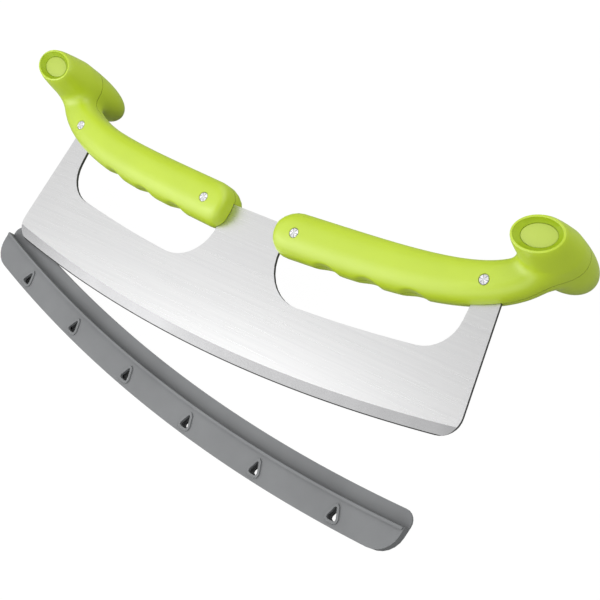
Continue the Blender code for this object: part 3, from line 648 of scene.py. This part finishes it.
def handle_mesh(segments, stations, name):
    """Bar and horn as one skin: the bar's last section runs into an opening in the side of the horn."""
    bm = bmesh.new()
    patch = HALF_DEPTH + JOINT_MARGIN
    depths = horn_depths(patch, segments)
    rows = [[bm.verts.new(point) for point in horn_ring(y, segments)] for y in depths]
    first = min(range(len(depths)), key=lambda number: abs(depths[number] + patch))
    half = segments // 2
    for number, (row, following) in enumerate(zip(rows, rows[1:])):
        for column in range(-half, 4 * segments - half):
            if first <= number < first + segments and column < half:
                continue
            after = (column + 1) % (4 * segments)
            bm.faces.new((row[column], row[after], following[after], following[column]))
    close_with_fan(bm, rows[0])
    close_with_fan(bm, rows[-1], Vector((HORN_X, HORN_BACK, horn_centre(HORN_BACK))))

    distances = bar_distances(AXIS_LENGTH - HORN_WIDTH / 2 - JOINT_RUN, stations)
    sections = [[bm.verts.new(point) for point in bar_ring(distance, segments)] for distance in distances]
    close_with_fan(bm, sections[0])
    bar_end = sections[-1]
    loop = opening_loop(rows[first : first + segments + 1], segments)
    for share in np.linspace(0, 1, JOINT_STATIONS + 2)[1:-1]:
        sections.append([bm.verts.new(start.co.lerp(end.co, share)) for start, end in zip(bar_end, loop)])
    sections.append(loop)
    for section, following in zip(sections, sections[1:]):
        skin(bm, section, following)
    bmesh.ops.delete(bm, geom=[vert for vert in bm.verts if not vert.link_faces], context="VERTS")
    settle(bm)
    return tidied(bm, bpy.data.meshes.new(name))


# Blade


def tang_middle(x):
    """Height of the middle of the tang, the strip of the blade inside the handle."""
    return min(axis_height(x), BLADE_SIDE_TOP - TANG_HEIGHT / 2)


def tang_top(x):
    return max(BLADE_TOP, tang_middle(x) + TANG_HEIGHT / 2)


def tang_bottom(x):
    return tang_middle(x) - TANG_HEIGHT / 2


def edge_reach():
    """Half the angle that the cutting edge spans, up to where its rounded corners begin."""
    return asin((BLADE_LENGTH / 2 - BLADE_CORNER) / (EDGE_RADIUS - BLADE_CORNER))


def blade_outline():
    corner_x = BLADE_LENGTH / 2 - BLADE_CORNER
    corner = (corner_x, fillet_height(corner_x, EDGE_RADIUS - BLADE_CORNER))
    end_x = EDGE_RADIUS * sin(edge_reach())
    side = arc(corner, BLADE_CORNER, edge_reach() - pi / 2, SIDE_LEAN, BLADE_CORNER_STEPS)[1:]
    side_x, side_z = side[-1]
    top_x = side_x - tan(SIDE_LEAN) * (BLADE_SIDE_TOP - side_z)
    tang = [(x, tang_top(x)) for x in np.linspace(top_x - TANG_INSET, GRIP_START, TANG_STEPS)]
    right = side + [(top_x, BLADE_SIDE_TOP)] + tang
    left = [(-x, z) for x, z in reversed(right)]
    return circle_arc(EDGE_RADIUS, -end_x, end_x) + right + left


def window_outline():
    """The right finger window. It runs up inside the handle, to the lower side of the tang."""
    floor = EDGE_RADIUS - WINDOW_FLOOR
    inner_x = BRIDGE_WIDTH / 2 + WINDOW_INNER_CORNER
    outer_x = WINDOW_END - WINDOW_OUTER_CORNER
    inner_turn = asin(inner_x / (floor - WINDOW_INNER_CORNER))
    outer_turn = asin(outer_x / (floor - WINDOW_OUTER_CORNER))
    inner = (inner_x, fillet_height(inner_x, floor - WINDOW_INNER_CORNER))
    outer = (outer_x, fillet_height(outer_x, floor - WINDOW_OUTER_CORNER))
    start_x, end_x = floor * sin(inner_turn), floor * sin(outer_turn)
    lower = arc(inner, WINDOW_INNER_CORNER, -pi, inner_turn - pi / 2, WINDOW_INNER_STEPS)
    lower += circle_arc(floor, start_x, end_x, WINDOW_FLOOR_STEPS)[1:-1]
    lower += arc(outer, WINDOW_OUTER_CORNER, outer_turn - pi / 2, 0, WINDOW_OUTER_STEPS)
    upper = np.linspace(WINDOW_END, BRIDGE_WIDTH / 2, WINDOW_TOP_STATIONS)
    return lower + [(x, tang_bottom(x)) for x in upper]


def rivet_places():
    """Where the right handle's rivets go, the inner one first."""
    return [
        (RIVET_INNER_X, tang_middle(RIVET_INNER_X) + RIVET_INNER_RISE),
        (RIVET_OUTER_X, tang_middle(RIVET_OUTER_X) + RIVET_OUTER_RISE),
    ]


def round_hole(x, z, radius):
    return arc((x, z), radius, 0, 2 * pi, RIVET_STEPS)[:-1]


def edge_wedge(wedge, side, name):
    """A cutter for one face of the blade: a section of (reach, y), carried round the centre of the edge."""
    rings = []
    # An even count of sections keeps them off the corners of the edge's facets.
    for turn in np.linspace(-GRIND_REACH, GRIND_REACH, EDGE_STEPS) * edge_reach():
        rings.append([(reach * sin(turn), side * y, EDGE_RADIUS - reach * cos(turn)) for reach, y in wedge])
    return loft(rings, name)


def grinding_wedge(side):
    """What is ground off one face along the cutting edge."""
    fall = HALF_BLADE - EDGE_LAND / 2
    outer = EDGE_RADIUS + GRIND_OVERRUN * BEVEL_WIDTH
    wedge = (
        (EDGE_RADIUS - (1 + GRIND_OVERRUN) * BEVEL_WIDTH, HALF_BLADE + GRIND_OVERRUN * fall),
        (outer, EDGE_LAND / 2 - GRIND_OVERRUN * fall),
        (outer, HALF_BLADE + GRIND_OVERRUN * fall),
    )
    return edge_wedge(wedge, side, "grinding_wedge")


def honing_wedge(side):
    """The narrow, steeper bevel that honing leaves along the cutting edge."""
    slope = (HALF_BLADE - EDGE_LAND / 2) / BEVEL_WIDTH
    shoulder = EDGE_LAND / 2 + HONED_WIDTH * slope
    steep = (shoulder - HONED_LAND) / HONED_WIDTH
    wedge = (
        (EDGE_RADIUS - 2 * HONED_WIDTH, shoulder + steep * HONED_WIDTH),
        (EDGE_RADIUS + HONED_WIDTH, HONED_LAND - steep * HONED_WIDTH),
        (EDGE_RADIUS + HONED_WIDTH, shoulder + steep * HONED_WIDTH),
    )
    return edge_wedge(wedge, side, "honing_wedge")


def make_blade():
    window = window_outline()
    holes = [window, [(-x, z) for x, z in window]]
    for x, z in rivet_places():
        holes += [round_hole(x, z, TUBE_RADIUS + GAP), round_hole(-x, z, TUBE_RADIUS + GAP)]
    sheet = plate([blade_outline()] + holes, -HALF_BLADE, HALF_BLADE, "steel_blade")
    blade = object_from(sheet, "steel_blade", PARTS)
    for side in (-1, 1):
        combine(blade, cutter_from(grinding_wedge(side), "grinding_wedge"), "DIFFERENCE")
        combine(blade, cutter_from(honing_wedge(side), "honing_wedge"), "DIFFERENCE")
    return shaded(blade, BLADE_CREASE)


# Handles


def quarter_round(radius):
    """A rounded edge in steps, each its depth below the end and how far it lies back from the full size."""
    turns = np.linspace(0, pi / 2, ROUNDING_STATIONS)
    return [(radius * (1 - cos(turn)), radius * (1 - sin(turn))) for turn in turns]


def oval_ring(half_length, half_width, depth):
    """An oval of these half sizes, at a depth below the horn's front end."""
    turns = np.linspace(0, 2 * pi, 4 * SIDE_SEGMENTS + 1)[:-1]
    ring = (oval_point(half_length, half_width, turn, -HORN_FRONT) for turn in turns)
    return [(x, depth - HORN_FRONT, z) for x, z in ring]


def horn_recess():
    """The dish in the horn's front end, with its rounded lip, and the bore below it for the plug."""
    half_length, half_width = RIM_LENGTH / 2 - RIM_LIP, RIM_WIDTH / 2 - RIM_LIP
    lip = [(-CLEAR, LIP_ROUND)] + quarter_round(LIP_ROUND)
    rings = [oval_ring(half_length + growth, half_width + growth, depth) for depth, growth in lip]
    for depth in (PLUG_RECESS, PLUG_RECESS + PLUG_THICKNESS + GAP):
        rings.append(oval_ring(PLUG_LENGTH / 2 + GAP, PLUG_WIDTH / 2 + GAP, depth))
    return loft(rings, "horn_recess")


def rivet_bore(x, z):
    """The stepped hole for one rivet, through both halves of a handle."""
    head = RIVET_HEAD_RADIUS + GAP
    tube = TUBE_RADIUS + GAP
    seat = HEAD_BACK - GAP
    end = HALF_DEPTH + CLEAR
    profile = [(0, -end), (head, -end), (head, -seat), (tube, -seat), (tube, seat), (head, seat)]
    return turned(profile + [(head, end), (0, end)], x, z, "rivet_bore")


def half_space(side):
    """A block over everything on one side of the mid-plane, starting half a gap short of it."""
    bm = bmesh.new()
    bmesh.ops.create_cube(bm, size=1)
    reach = 2 * (HORN_X + HORN_LENGTH)
    depth = HORN_FRONT + HORN_BACK
    bmesh.ops.scale(bm, vec=(reach, depth, reach), verts=bm.verts)
    bmesh.ops.translate(bm, vec=(0, side * (depth - GAP) / 2, 0), verts=bm.verts)
    return tidied(bm, bpy.data.meshes.new("half_space"))


def make_handles():
    whole = handle_mesh(SIDE_SEGMENTS, BAR_STATIONS, "handle")
    pocket_outlines = [grown(blade_outline(), GAP), grown(window_outline(), -GAP)]
    pocket_depth = HALF_BLADE + GAP
    pocket = cutter_from(plate(pocket_outlines, -pocket_depth, pocket_depth, "tang_pocket"), "tang_pocket")
    bores = [cutter_from(rivet_bore(x, z), "rivet_bore") for x, z in rivet_places()]
    recess = cutter_from(horn_recess(), "horn_recess")
    made = {}
    for name, side in (("front", -1), ("back", 1)):
        half = object_from(whole.copy(), f"grip_right_{name}", PARTS)
        combine(half, cutter_from(half_space(-side), f"half_space_{name}"), "DIFFERENCE")
        cuts = [pocket] + bores + ([recess] if name == "front" else [])
        for cutter in cuts:
            combine(half, cutter, "DIFFERENCE")
        made[f"handle_right_{name}"] = shaded(half, GRIP_CREASE)
        made[f"handle_left_{name}"] = shaded(mirrored(half, f"grip_left_{name}"), GRIP_CREASE)
    return made


def make_plugs():
    """The discs pressed into the front ends of the horns, with a softened edge."""
    half_length, half_width = PLUG_LENGTH / 2 + PLUG_SWELL, PLUG_WIDTH / 2 + PLUG_SWELL
    rings = []
    for depth, inset in quarter_round(PLUG_ROUND) + [(PLUG_THICKNESS, 0)]:
        rings.append(oval_ring(half_length - inset, half_width - inset, PLUG_RECESS + depth))
    right = shaded(object_from(loft(rings, "disc_right"), "disc_right", PARTS), SMALL_CREASE)
    return {"horn_plug_right": right, "horn_plug_left": shaded(mirrored(right, "disc_left"), SMALL_CREASE)}


def rivet_front(x, z, name):
    """Head and tube. The tube passes through the front half and the blade, and ends under the rear head."""
    face = -HALF_DEPTH - RIVET_HEAD_PROUD
    bore = RIVET_PIN_RADIUS + GAP
    bottom = HEAD_BACK - RIVET_PIN_LENGTH - GAP
    end = HEAD_BACK - GAP
    profile = [(0, bottom), (bore, bottom), (bore, end), (TUBE_RADIUS, end), (TUBE_RADIUS, -HEAD_BACK)]
    return turned(profile + head_profile(face, 1), x, z, name)


def rivet_back(x, z, name):
    """Head and pin. The pin is driven into the front rivet's tube."""
    face = HALF_DEPTH + RIVET_HEAD_PROUD
    tip = HEAD_BACK - RIVET_PIN_LENGTH
    profile = [(0, tip), (RIVET_PIN_RADIUS, tip), (RIVET_PIN_RADIUS, HEAD_BACK)]
    return turned(profile + head_profile(face, -1), x, z, name)


def head_profile(face, inward):
    back = face + inward * RIVET_HEAD_THICKNESS
    round_start = face + inward * RIVET_HEAD_ROUND
    inner = RIVET_HEAD_RADIUS - RIVET_HEAD_ROUND
    return [(RIVET_HEAD_RADIUS, back), (RIVET_HEAD_RADIUS, round_start), (inner, face), (0, face)]


def make_rivets():
    """Each rivet's object has its origin on the rivet's axis, which is its own Z."""
    made = {}
    for place, (x, z) in zip(("inner", "outer"), rivet_places()):
        for half, shape in (("front", rivet_front), ("back", rivet_back)):
            for side, sign in (("right", 1), ("left", -1)):
                name = f"rivet_{place}_{side}_{half}"
                place_of_axis = Matrix.Translation((sign * x, 0, z)) @ Matrix.Rotation(pi / 2, 4, "X")
                mesh = shape(sign * x, z, f"{name}_turned")
                mesh.transform(place_of_axis.inverted())
                rivet = object_from(mesh, f"{name}_turned", PARTS)
                rivet.matrix_world = place_of_axis
                made[name] = shaded(rivet, SMALL_CREASE)
    return made


# Edge sheath, drawn where it is seated on the cutting edge


def sheath_outline(inset, depth, upper_corner):
    """The channel seen from the front: its bottom arc, ends and top arc, all moved in by the inset."""
    bottom = SHEATH_BOTTOM - inset
    top = SHEATH_BOTTOM - depth
    half = SHEATH_LENGTH / 2 - inset
    lower_corner = SHEATH_LOWER_CORNER - inset
    lower_x = half - lower_corner
    upper_x = half - upper_corner
    lower_turn = asin(lower_x / (bottom - lower_corner))
    upper_turn = asin(upper_x / (top + upper_corner))
    lower = (lower_x, fillet_height(lower_x, bottom - lower_corner))
    upper = (upper_x, fillet_height(upper_x, top + upper_corner))
    right = arc(lower, lower_corner, lower_turn - pi / 2, 0)[1:]
    right += arc(upper, upper_corner, 0, pi / 2 + upper_turn)
    end_x = bottom * sin(lower_turn)
    top_x = top * sin(upper_turn)
    low = circle_arc(bottom, -end_x, end_x)
    high = circle_arc(top, top_x, -top_x)[1:-1]
    return low + right + high + [(-x, z) for x, z in reversed(right)]


def band_outline(outer, inner, half_length):
    """A strip between two arcs, the same distance to both sides."""
    return circle_arc(outer, -half_length, half_length) + circle_arc(inner, half_length, -half_length)


def hole_outline(number, growth):
    """One drain hole, a rounded triangle that points away from the bottom of the channel."""
    turn = ((number - (HOLES - 1) / 2) * HOLE_PITCH + HOLE_SHIFT) / SHEATH_BOTTOM
    corners = (
        (-HOLE_WIDTH / 2, HOLE_LIFT, HOLE_BASE_ROUND),
        (HOLE_WIDTH / 2, HOLE_LIFT, HOLE_BASE_ROUND),
        (0, HOLE_LIFT + HOLE_HEIGHT, HOLE_TIP_ROUND),
    )
    outline = []
    for along, lift in grown(rounded(corners), growth) if growth else rounded(corners):
        reach = SHEATH_BOTTOM - lift
        x = reach * sin(turn) + along * cos(turn)
        outline.append((x, EDGE_RADIUS - reach * cos(turn) + along * sin(turn)))
    return outline


def make_sheath():
    inside = SHEATH_CHANNEL / 2
    face = inside + SHEATH_WALL
    seat = -inside - SHEATH_WALL / 2
    rim = SHEATH_BOTTOM - SHEATH_FRONT_DEPTH
    whole = sheath_outline(0, SHEATH_BACK_DEPTH, SHEATH_UPPER_CORNER)
    sheath = object_from(plate([whole], -face, face, "edge_sheath"), "edge_sheath", PARTS)
    bead = [band_outline(rim + BEAD_HEIGHT, rim - CLEAR, SHEATH_LENGTH / 2 - SHEATH_WALL / 2)]
    cavity = [sheath_outline(SHEATH_WALL, SHEATH_BACK_DEPTH + CLEAR, 0)]
    above = [band_outline(rim, rim - SHEATH_BACK_DEPTH, SHEATH_LENGTH / 2 + CLEAR)]
    rims = [hole_outline(number, HOLE_RIM_WIDTH) for number in range(HOLES)]
    holes = [hole_outline(number, 0) for number in range(HOLES)]
    steps = (
        ("rim_bead", bead, -face - BEAD_PROUD, seat, "UNION"),
        ("sheath_cavity", cavity, -inside, inside, "DIFFERENCE"),
        ("front_wall_trim", above, -face - CLEAR, inside + SHEATH_STEP, "DIFFERENCE"),
        ("hole_rims", rims, -face - HOLE_RIM_PROUD, seat, "UNION"),
        ("drain_holes", holes, -face - CLEAR, face + CLEAR, "DIFFERENCE"),
    )
    for name, outlines, front, back, operation in steps:
        combine(sheath, cutter_from(plate(outlines, front, back, name), name), operation)
    return shaded(sheath, SHEATH_CREASE)


def sheath_pole():
    """The point of the knife's plane about which one turn carries the sheath from beside the edge onto it."""
    beside = Vector((SHEATH_SHIFT, EDGE_RADIUS - SHEATH_DROP))
    seated = Vector((0, EDGE_RADIUS))
    step = seated - beside
    return (beside + seated) / 2 + Vector((-step.y, step.x)) / (2 * tan(SHEATH_TURN / 2))


# Materials


class Nodes:
    """A material's node tree, with short ways to add and join its nodes."""

    def __init__(self, name):
        self.material = bpy.data.materials.new(name)
        self.material.use_nodes = True
        self.tree = self.material.node_tree
        self.shader = self.tree.nodes["Principled BSDF"]
        self.output = self.tree.nodes["Material Output"]

    def add(self, kind, **settings):
        node = self.tree.nodes.new(kind)
        for key, value in settings.items():
            setattr(node, key, value)
        return node

    def link(self, source, target):
        self.tree.links.new(source, target)

    def set(self, node, **values):
        for key, value in values.items():
            node.inputs[key.replace("_", " ")].default_value = value

    def place(self, scale):
        """Points of the piece's own space, stretched by a scale for each axis."""
        points = self.add("ShaderNodeTexCoord").outputs["Object"]
        stretch = self.add("ShaderNodeMapping")
        self.set(stretch, Scale=scale)
        self.link(points, stretch.inputs["Vector"])
        return stretch.outputs["Vector"]

    def noise(self, scale, detail=2, roughness=0.5):
        """Noise whose grains are 1/scale metres."""
        node = self.add("ShaderNodeTexNoise")
        self.set(node, Scale=1, Detail=detail, Roughness=roughness)
        self.link(self.place(scale), node.inputs["Vector"])
        return node.outputs["Fac"]

    def between(self, value, low, high, start=0.3, stop=0.7):
        node = self.add("ShaderNodeMapRange")
        self.set(node, From_Min=start, From_Max=stop, To_Min=low, To_Max=high)
        self.link(value, node.inputs["Value"])
        return node.outputs["Result"]

    def blend(self, value, first, second):
        node = self.add("ShaderNodeMix", data_type="RGBA")
        self.set(node, A=(*first, 1), B=(*second, 1))
        self.link(value, node.inputs["Factor"])
        return node.outputs["Result"]

    def bump(self, height, depth):
        node = self.add("ShaderNodeBump")
        self.set(node, Distance=depth, Strength=1)
        self.link(height, node.inputs["Height"])
        return node.outputs["Normal"]

    def maths(self, operation, value, number):
        """A math node with the value in its first input and the number in its second."""
        node = self.add("ShaderNodeMath", operation=operation)
        self.link(value, node.inputs[0])
        node.inputs[1].default_value = number
        return node


def moulded_plastic(name, dark, light, roughness, grain_depth, shine, sheen):
    """Satin moulded plastic: fine grain, faint cloudiness in colour and in gloss."""
    nodes = Nodes(name)
    cloud = nodes.between(nodes.noise(CLOUD_SCALE, 3), 0, 1)
    nodes.link(nodes.blend(cloud, dark, light), nodes.shader.inputs["Base Color"])
    smudge = nodes.noise(SMUDGE_SCALE, 4, 0.6)
    gloss = nodes.between(smudge, roughness - PLASTIC_SPREAD, roughness + PLASTIC_SPREAD)
    nodes.link(gloss, nodes.shader.inputs["Roughness"])
    grain = nodes.noise(GRAIN_SCALE, 3, 0.6)
    nodes.link(nodes.bump(grain, grain_depth), nodes.shader.inputs["Normal"])
    nodes.set(nodes.shader, Specular_IOR_Level=shine, Sheen_Weight=sheen, Sheen_Roughness=SHEEN_ROUGHNESS)
    return nodes.material


def scratched_steel(name, fine, coarse, dark, light, gloss, anisotropy):
    """Steel with long scratches in colour, gloss and height. The scales set their direction."""
    nodes = Nodes(name)
    hair = nodes.noise(fine, 4, 0.65)
    band = nodes.noise(coarse, 3, 0.6)
    tone = nodes.maths("MULTIPLY_ADD", hair, 0.5)
    nodes.link(nodes.maths("MULTIPLY", band, 0.5).outputs[0], tone.inputs[2])
    shade = nodes.between(tone.outputs[0], 0, 1, 0.35, 0.65)
    nodes.link(nodes.blend(shade, dark, light), nodes.shader.inputs["Base Color"])
    roughness = nodes.between(hair, gloss - STEEL_SPREAD, gloss + STEEL_SPREAD)
    nodes.link(roughness, nodes.shader.inputs["Roughness"])
    nodes.link(nodes.bump(hair, SCRATCH_DEPTH), nodes.shader.inputs["Normal"])
    nodes.set(nodes.shader, Metallic=1.0, Anisotropic=anisotropy)
    along = nodes.add("ShaderNodeCombineXYZ")
    nodes.set(along, X=1)
    nodes.link(along.outputs["Vector"], nodes.shader.inputs["Tangent"])
    return nodes.material


def turned_steel(name):
    """A turned rivet head: rings round its axis in the gloss, and dark spokes painted across a bright face,
    painted reflections of the turned face.
    """
    nodes = Nodes(name)
    rings = nodes.add("ShaderNodeTexWave", wave_type="RINGS", rings_direction="Z")
    nodes.set(rings, Scale=RING_SCALE, Distortion=1, Detail=2)
    points = nodes.add("ShaderNodeTexCoord").outputs["Object"]
    nodes.link(points, rings.inputs["Vector"])
    angle = nodes.add("ShaderNodeTexGradient", gradient_type="RADIAL")
    nodes.link(points, angle.inputs["Vector"])
    painted_spoke = nodes.maths("PINGPONG", angle.outputs["Fac"], 0.5 / HEAD_SPOKES)
    bright = nodes.between(painted_spoke.outputs[0], 0, 1, 0, SPOKE_WIDTH / HEAD_SPOKES)
    nodes.link(nodes.blend(bright, HEAD_DARK, HEAD_LIGHT), nodes.shader.inputs["Base Color"])
    nodes.link(nodes.between(rings.outputs["Fac"], *HEAD_GLOSS, 0, 1), nodes.shader.inputs["Roughness"])
    nodes.set(nodes.shader, Metallic=1.0, Anisotropic=HEAD_ANISOTROPY)
    round_axis = nodes.add("ShaderNodeTangent", direction_type="RADIAL", axis="Z")
    nodes.link(round_axis.outputs["Tangent"], nodes.shader.inputs["Tangent"])
    return nodes.material


def lit_floor(name):
    """White floor that keeps a faint shadow of the object."""
    nodes = Nodes(name)
    nodes.set(nodes.shader, Base_Color=(*FLOOR_COLOUR, 1), Roughness=1.0, Specular_IOR_Level=0)
    paths = nodes.add("ShaderNodeLightPath")
    share = nodes.maths("MULTIPLY", paths.outputs["Is Camera Ray"], FLOOR_GLOW)
    glow = nodes.add("ShaderNodeEmission")
    nodes.set(glow, Strength=FLOOR_WHITE)
    mix = nodes.add("ShaderNodeMixShader")
    nodes.link(share.outputs[0], mix.inputs[0])
    nodes.link(nodes.shader.outputs[0], mix.inputs[1])
    nodes.link(glow.outputs[0], mix.inputs[2])
    nodes.link(mix.outputs[0], nodes.output.inputs["Surface"])
    return nodes.material


# Looks. Scales are grains for each metre, depths are metres.
CLOUD_SCALE = (35, 35, 35)
SMUDGE_SCALE = (120, 120, 120)
GRAIN_SCALE = (2200, 2200, 2200)
PLASTIC_SPREAD = 0.03
SHEEN_ROUGHNESS = 0.3
STEEL_SPREAD = 0.04
SCRATCH_DEPTH = 0.000002
RING_SCALE = 1500
# Rivet heads: dark spokes painted on a bright face, painted reflections of a turned head
HEAD_DARK = (0.36, 0.36, 0.38)
HEAD_LIGHT = (0.90, 0.90, 0.91)
HEAD_GLOSS = (0.18, 0.25)
HEAD_ANISOTROPY = 0.9
HEAD_SPOKES = 6
SPOKE_WIDTH = 0.16

# Plastics: name, darker and lighter colour, roughness, depth of the grain, shine and sheen
PLASTICS = (
    ("lime_plastic", (0.38, 0.51, 0.002), (0.405, 0.54, 0.003), 0.43, 0.000012, 1.0, 0.2),
    # The recess row is the lime painted darker: painted shade on the wall of the dish in the horn's end
    ("recess_painted_shade", (0.25, 0.36, 0.002), (0.28, 0.39, 0.003), 0.5, 0.000012, 0.3, 0.0),
    ("disc_plastic", (0.37, 0.47, 0.06), (0.395, 0.495, 0.07), 0.45, 0.000012, 0.5, 0.0),
    ("grey_plastic", (0.131, 0.135, 0.139), (0.152, 0.157, 0.161), 0.5, 0.00001, 0.5, 0.0),
    # The seam's row is the lime painted near black: painted shade on the inner faces of the halves, in the
    # seam
    ("seam_painted_shade", (0.012, 0.016, 0.002), (0.018, 0.022, 0.003), 0.6, 0.00001, 0.5, 0.0),
)

# Steels: name, scales of the fine and the coarse scratches, darker and lighter colour, roughness, anisotropy
STEELS = (
    ("brushed_steel", (12, 3200, 3200), (5, 700, 700), (0.74, 0.74, 0.745), (0.80, 0.80, 0.80), 0.3, 0.5),
    ("ground_steel", (900, 900, 900), (40, 40, 40), (0.22, 0.22, 0.223), (0.26, 0.26, 0.263), 0.2, 0.0),
    # The honed strip is coloured near black: a painted dark line of shade along the cutting edge, below the
    # bevel
    ("honed_strip_painted_shade", (900, 900, 900), (90, 90, 90), (0.03, 0.03, 0.03), (0.05, 0.05, 0.05), 0.5, 0.0),
    ("stamped_steel", (900, 900, 900), (90, 90, 90), (0.17, 0.17, 0.17), (0.24, 0.24, 0.24), 0.45, 0.0),
)

# How squarely a blade's face looks to the front or back: at least this much, and the number of its steel
BLADE_LOOKS = ((0.999, 0), (0.98, 1), (0.5, 2), (-1, 3))

# Numbers of a grip's painted shades: on the inner faces of its two halves, and on the wall of the dish in the
# horn's end
INNER_FACE_LOOK = 1
DISH_LOOK = 2
INNER_FACE_SQUARE = 0.99

# Floor and sky
FLOOR_COLOUR = (0.2, 0.2, 0.2)
FLOOR_GLOW = 0.9
FLOOR_WHITE = 1.1
FLOOR_REACH = 6
FLOOR_SINK = 0.0002
SKY_LIGHT = 0.75
SKY_SHINE = 0.1
SKY_SEEN = 1.0

# Lamps: name, direction in which it hangs, size and watts
LAMP_DISTANCE = 1.6
LAMPS = (
    ("key", (-0.68, -0.64, 0.38), 1.3, 9),
    ("panel", (-0.56, -0.16, 0.81), 1.5, 5.85),
    ("card", (-0.52, -0.475, 0.705), 0.9, 3.8),
    ("top", (0.35, 0.78, 0.5), 3.0, 30),
    ("fill", (0.15, -0.97, 0.16), 2.2, 16),
    ("side", (0.9, -0.2, 0.3), 2.2, 5.5),
)

# Camera, in the knife's frame
CAMERA_PLACE = (0.47503, -0.60022, -0.00326)
CAMERA_RIGHT = (0.750759, 0.487882, 0.445345)
CAMERA_DOWN = (0.327868, 0.310059, -0.892393)
CAMERA_FORWARD = (-0.573466, 0.815987, 0.072819)
CAMERA_LENS = 77.66
CAMERA_SENSOR = 36
CAMERA_NEAR = 0.01


def make_sky():
    world = bpy.data.worlds.new("studio")
    bpy.context.scene.world = world
    world.use_nodes = True
    tree = world.node_tree
    background = tree.nodes["Background"]
    background.inputs["Color"].default_value = (1, 1, 1, 1)
    paths = tree.nodes.new("ShaderNodeLightPath")
    strength = None
    for ray, share in (("Is Glossy Ray", SKY_SHINE), ("Is Camera Ray", SKY_SEEN)):
        step = tree.nodes.new("ShaderNodeMath")
        step.operation = "MULTIPLY_ADD"
        tree.links.new(paths.outputs[ray], step.inputs[0])
        step.inputs[1].default_value = share - SKY_LIGHT
        step.inputs[2].default_value = SKY_LIGHT
        if strength:
            tree.links.new(strength, step.inputs[2])
        strength = step.outputs[0]
    tree.links.new(strength, background.inputs["Strength"])


def make_lamp(name, direction, size, watts):
    lamp = bpy.data.lights.new(name, "AREA")
    lamp.size = size
    lamp.energy = watts
    holder = bpy.data.objects.new(name, lamp)
    bpy.context.scene.collection.objects.link(holder)
    towards = Vector(direction).normalized()
    holder.location = towards * LAMP_DISTANCE
    holder.rotation_euler = towards.to_track_quat("Z", "Y").to_euler()


def make_floor():
    bm = bmesh.new()
    bmesh.ops.create_grid(bm, x_segments=1, y_segments=1, size=FLOOR_REACH)
    mesh = bpy.data.meshes.new("floor")
    bm.to_mesh(mesh)
    bm.free()
    floor = bpy.data.objects.new("floor", mesh)
    bpy.context.scene.collection.objects.link(floor)
    floor.location.z = cad_box[0][2] - FLOOR_SINK
    mesh.materials.append(lit_floor("floor"))


def make_camera(knife):
    camera = bpy.data.cameras.new("camera")
    camera.sensor_width = CAMERA_SENSOR
    camera.lens = CAMERA_LENS
    camera.clip_start = CAMERA_NEAR
    holder = bpy.data.objects.new("camera", camera)
    bpy.context.scene.collection.objects.link(holder)
    right, down, forward = Vector(CAMERA_RIGHT), Vector(CAMERA_DOWN), Vector(CAMERA_FORWARD)
    turn = Matrix((right, -down, -forward)).transposed().to_4x4()
    holder.matrix_world = knife @ Matrix.Translation(CAMERA_PLACE) @ turn
    bpy.context.scene.camera = holder


def knife_place():
    """The knife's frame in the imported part's frame, from the mount on the front face of the blade."""
    mount = frame["record"]["mounts"][0]
    _, front_y, front_z = mount["axis"]
    turn = Matrix.Rotation(atan2(-front_z, -front_y), 4, "X")
    return Matrix.Translation(Vector(mount["pos_m"]) - turn @ Vector((0, -HALF_BLADE, MOUNT_HEIGHT))) @ turn


def mark_faces(mesh, number_of):
    """Gives every face the number of its material, which number_of(face) tells."""
    for face in mesh.polygons:
        face.material_index = number_of(face)


def blade_look(face):
    return next(number for least, number in BLADE_LOOKS if abs(face.normal.y) > least)


def grip_look(face):
    """0 for the outside of a grip, or the number of the painted shade on its inner faces or on the dish's
    wall.
    """
    if abs(face.normal.y) > INNER_FACE_SQUARE and abs(face.center.y) < GAP:
        return INNER_FACE_LOOK
    side = 1 if face.center.x >= 0 else -1
    outward = Vector((side * face.center.x - HORN_X, face.center.z - HORN_HEIGHT))
    faces_axis = outward.dot(Vector((side * face.normal.x, face.normal.z))) < 0
    depth = face.center.y + HORN_FRONT
    on_wall = outward.length < RIM_LENGTH / 2 and LIP_ROUND / 2 < depth < PLUG_RECESS + PLUG_THICKNESS
    # The dish's wall takes the darker lime, the painted shade of the recess
    return DISH_LOOK if faces_axis and on_wall else 0


def dress(piece, node, body, looks):
    """The piece stands for the node, and moves with its body."""
    for look in looks:
        piece.data.materials.append(look)
    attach(piece, body)
    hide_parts(node)


PARTS = bpy.data.collections.new("dressed")
CUTTERS = bpy.data.collections.new("cutters")
for collection in (PARTS, CUTTERS):
    bpy.context.scene.collection.children.link(collection)

knife = knife_place()
blade = make_blade()
grips = make_handles()
discs = make_plugs()
rivets = make_rivets()
sheath = make_sheath()
pole = sheath_pole()
axis = Vector((pole.x, 0, pole.y))
beside = Matrix.Translation(axis) @ Matrix.Rotation(SHEATH_TURN, 4, "Y") @ Matrix.Translation(-axis)
sheath.data.transform(beside)
mark_faces(blade.data, blade_look)
for piece in grips.values():
    mark_faces(piece.data, grip_look)
for piece in [blade, sheath] + list(grips.values()) + list(discs.values()):
    piece.data.transform(knife)
for piece in rivets.values():
    piece.matrix_world = knife @ piece.matrix_world
for cutter in list(CUTTERS.objects):
    bpy.data.objects.remove(cutter, do_unlink=True)
bpy.context.view_layer.update()

lime, recess, disc_lime, grey, seam = [moulded_plastic(*values) for values in PLASTICS]
steels = [scratched_steel(*values) for values in STEELS]
head_steel = turned_steel("turned_steel")

dress(blade, "blade", "knife", steels)
dress(sheath, "edge_sheath", "sheath", [grey])
for node, piece in grips.items():
    # Each grip takes the lime, the seam's painted shade and the dish's painted shade
    dress(piece, node, "knife", [lime, seam, recess])
for node, piece in discs.items():
    dress(piece, node, "knife", [disc_lime])
for node, piece in rivets.items():
    dress(piece, node, "knife", [head_steel])

make_floor()
make_sky()
for lamp in LAMPS:
    make_lamp(*lamp)
make_camera(knife)
bpy.context.scene.view_settings.view_transform = "Standard"
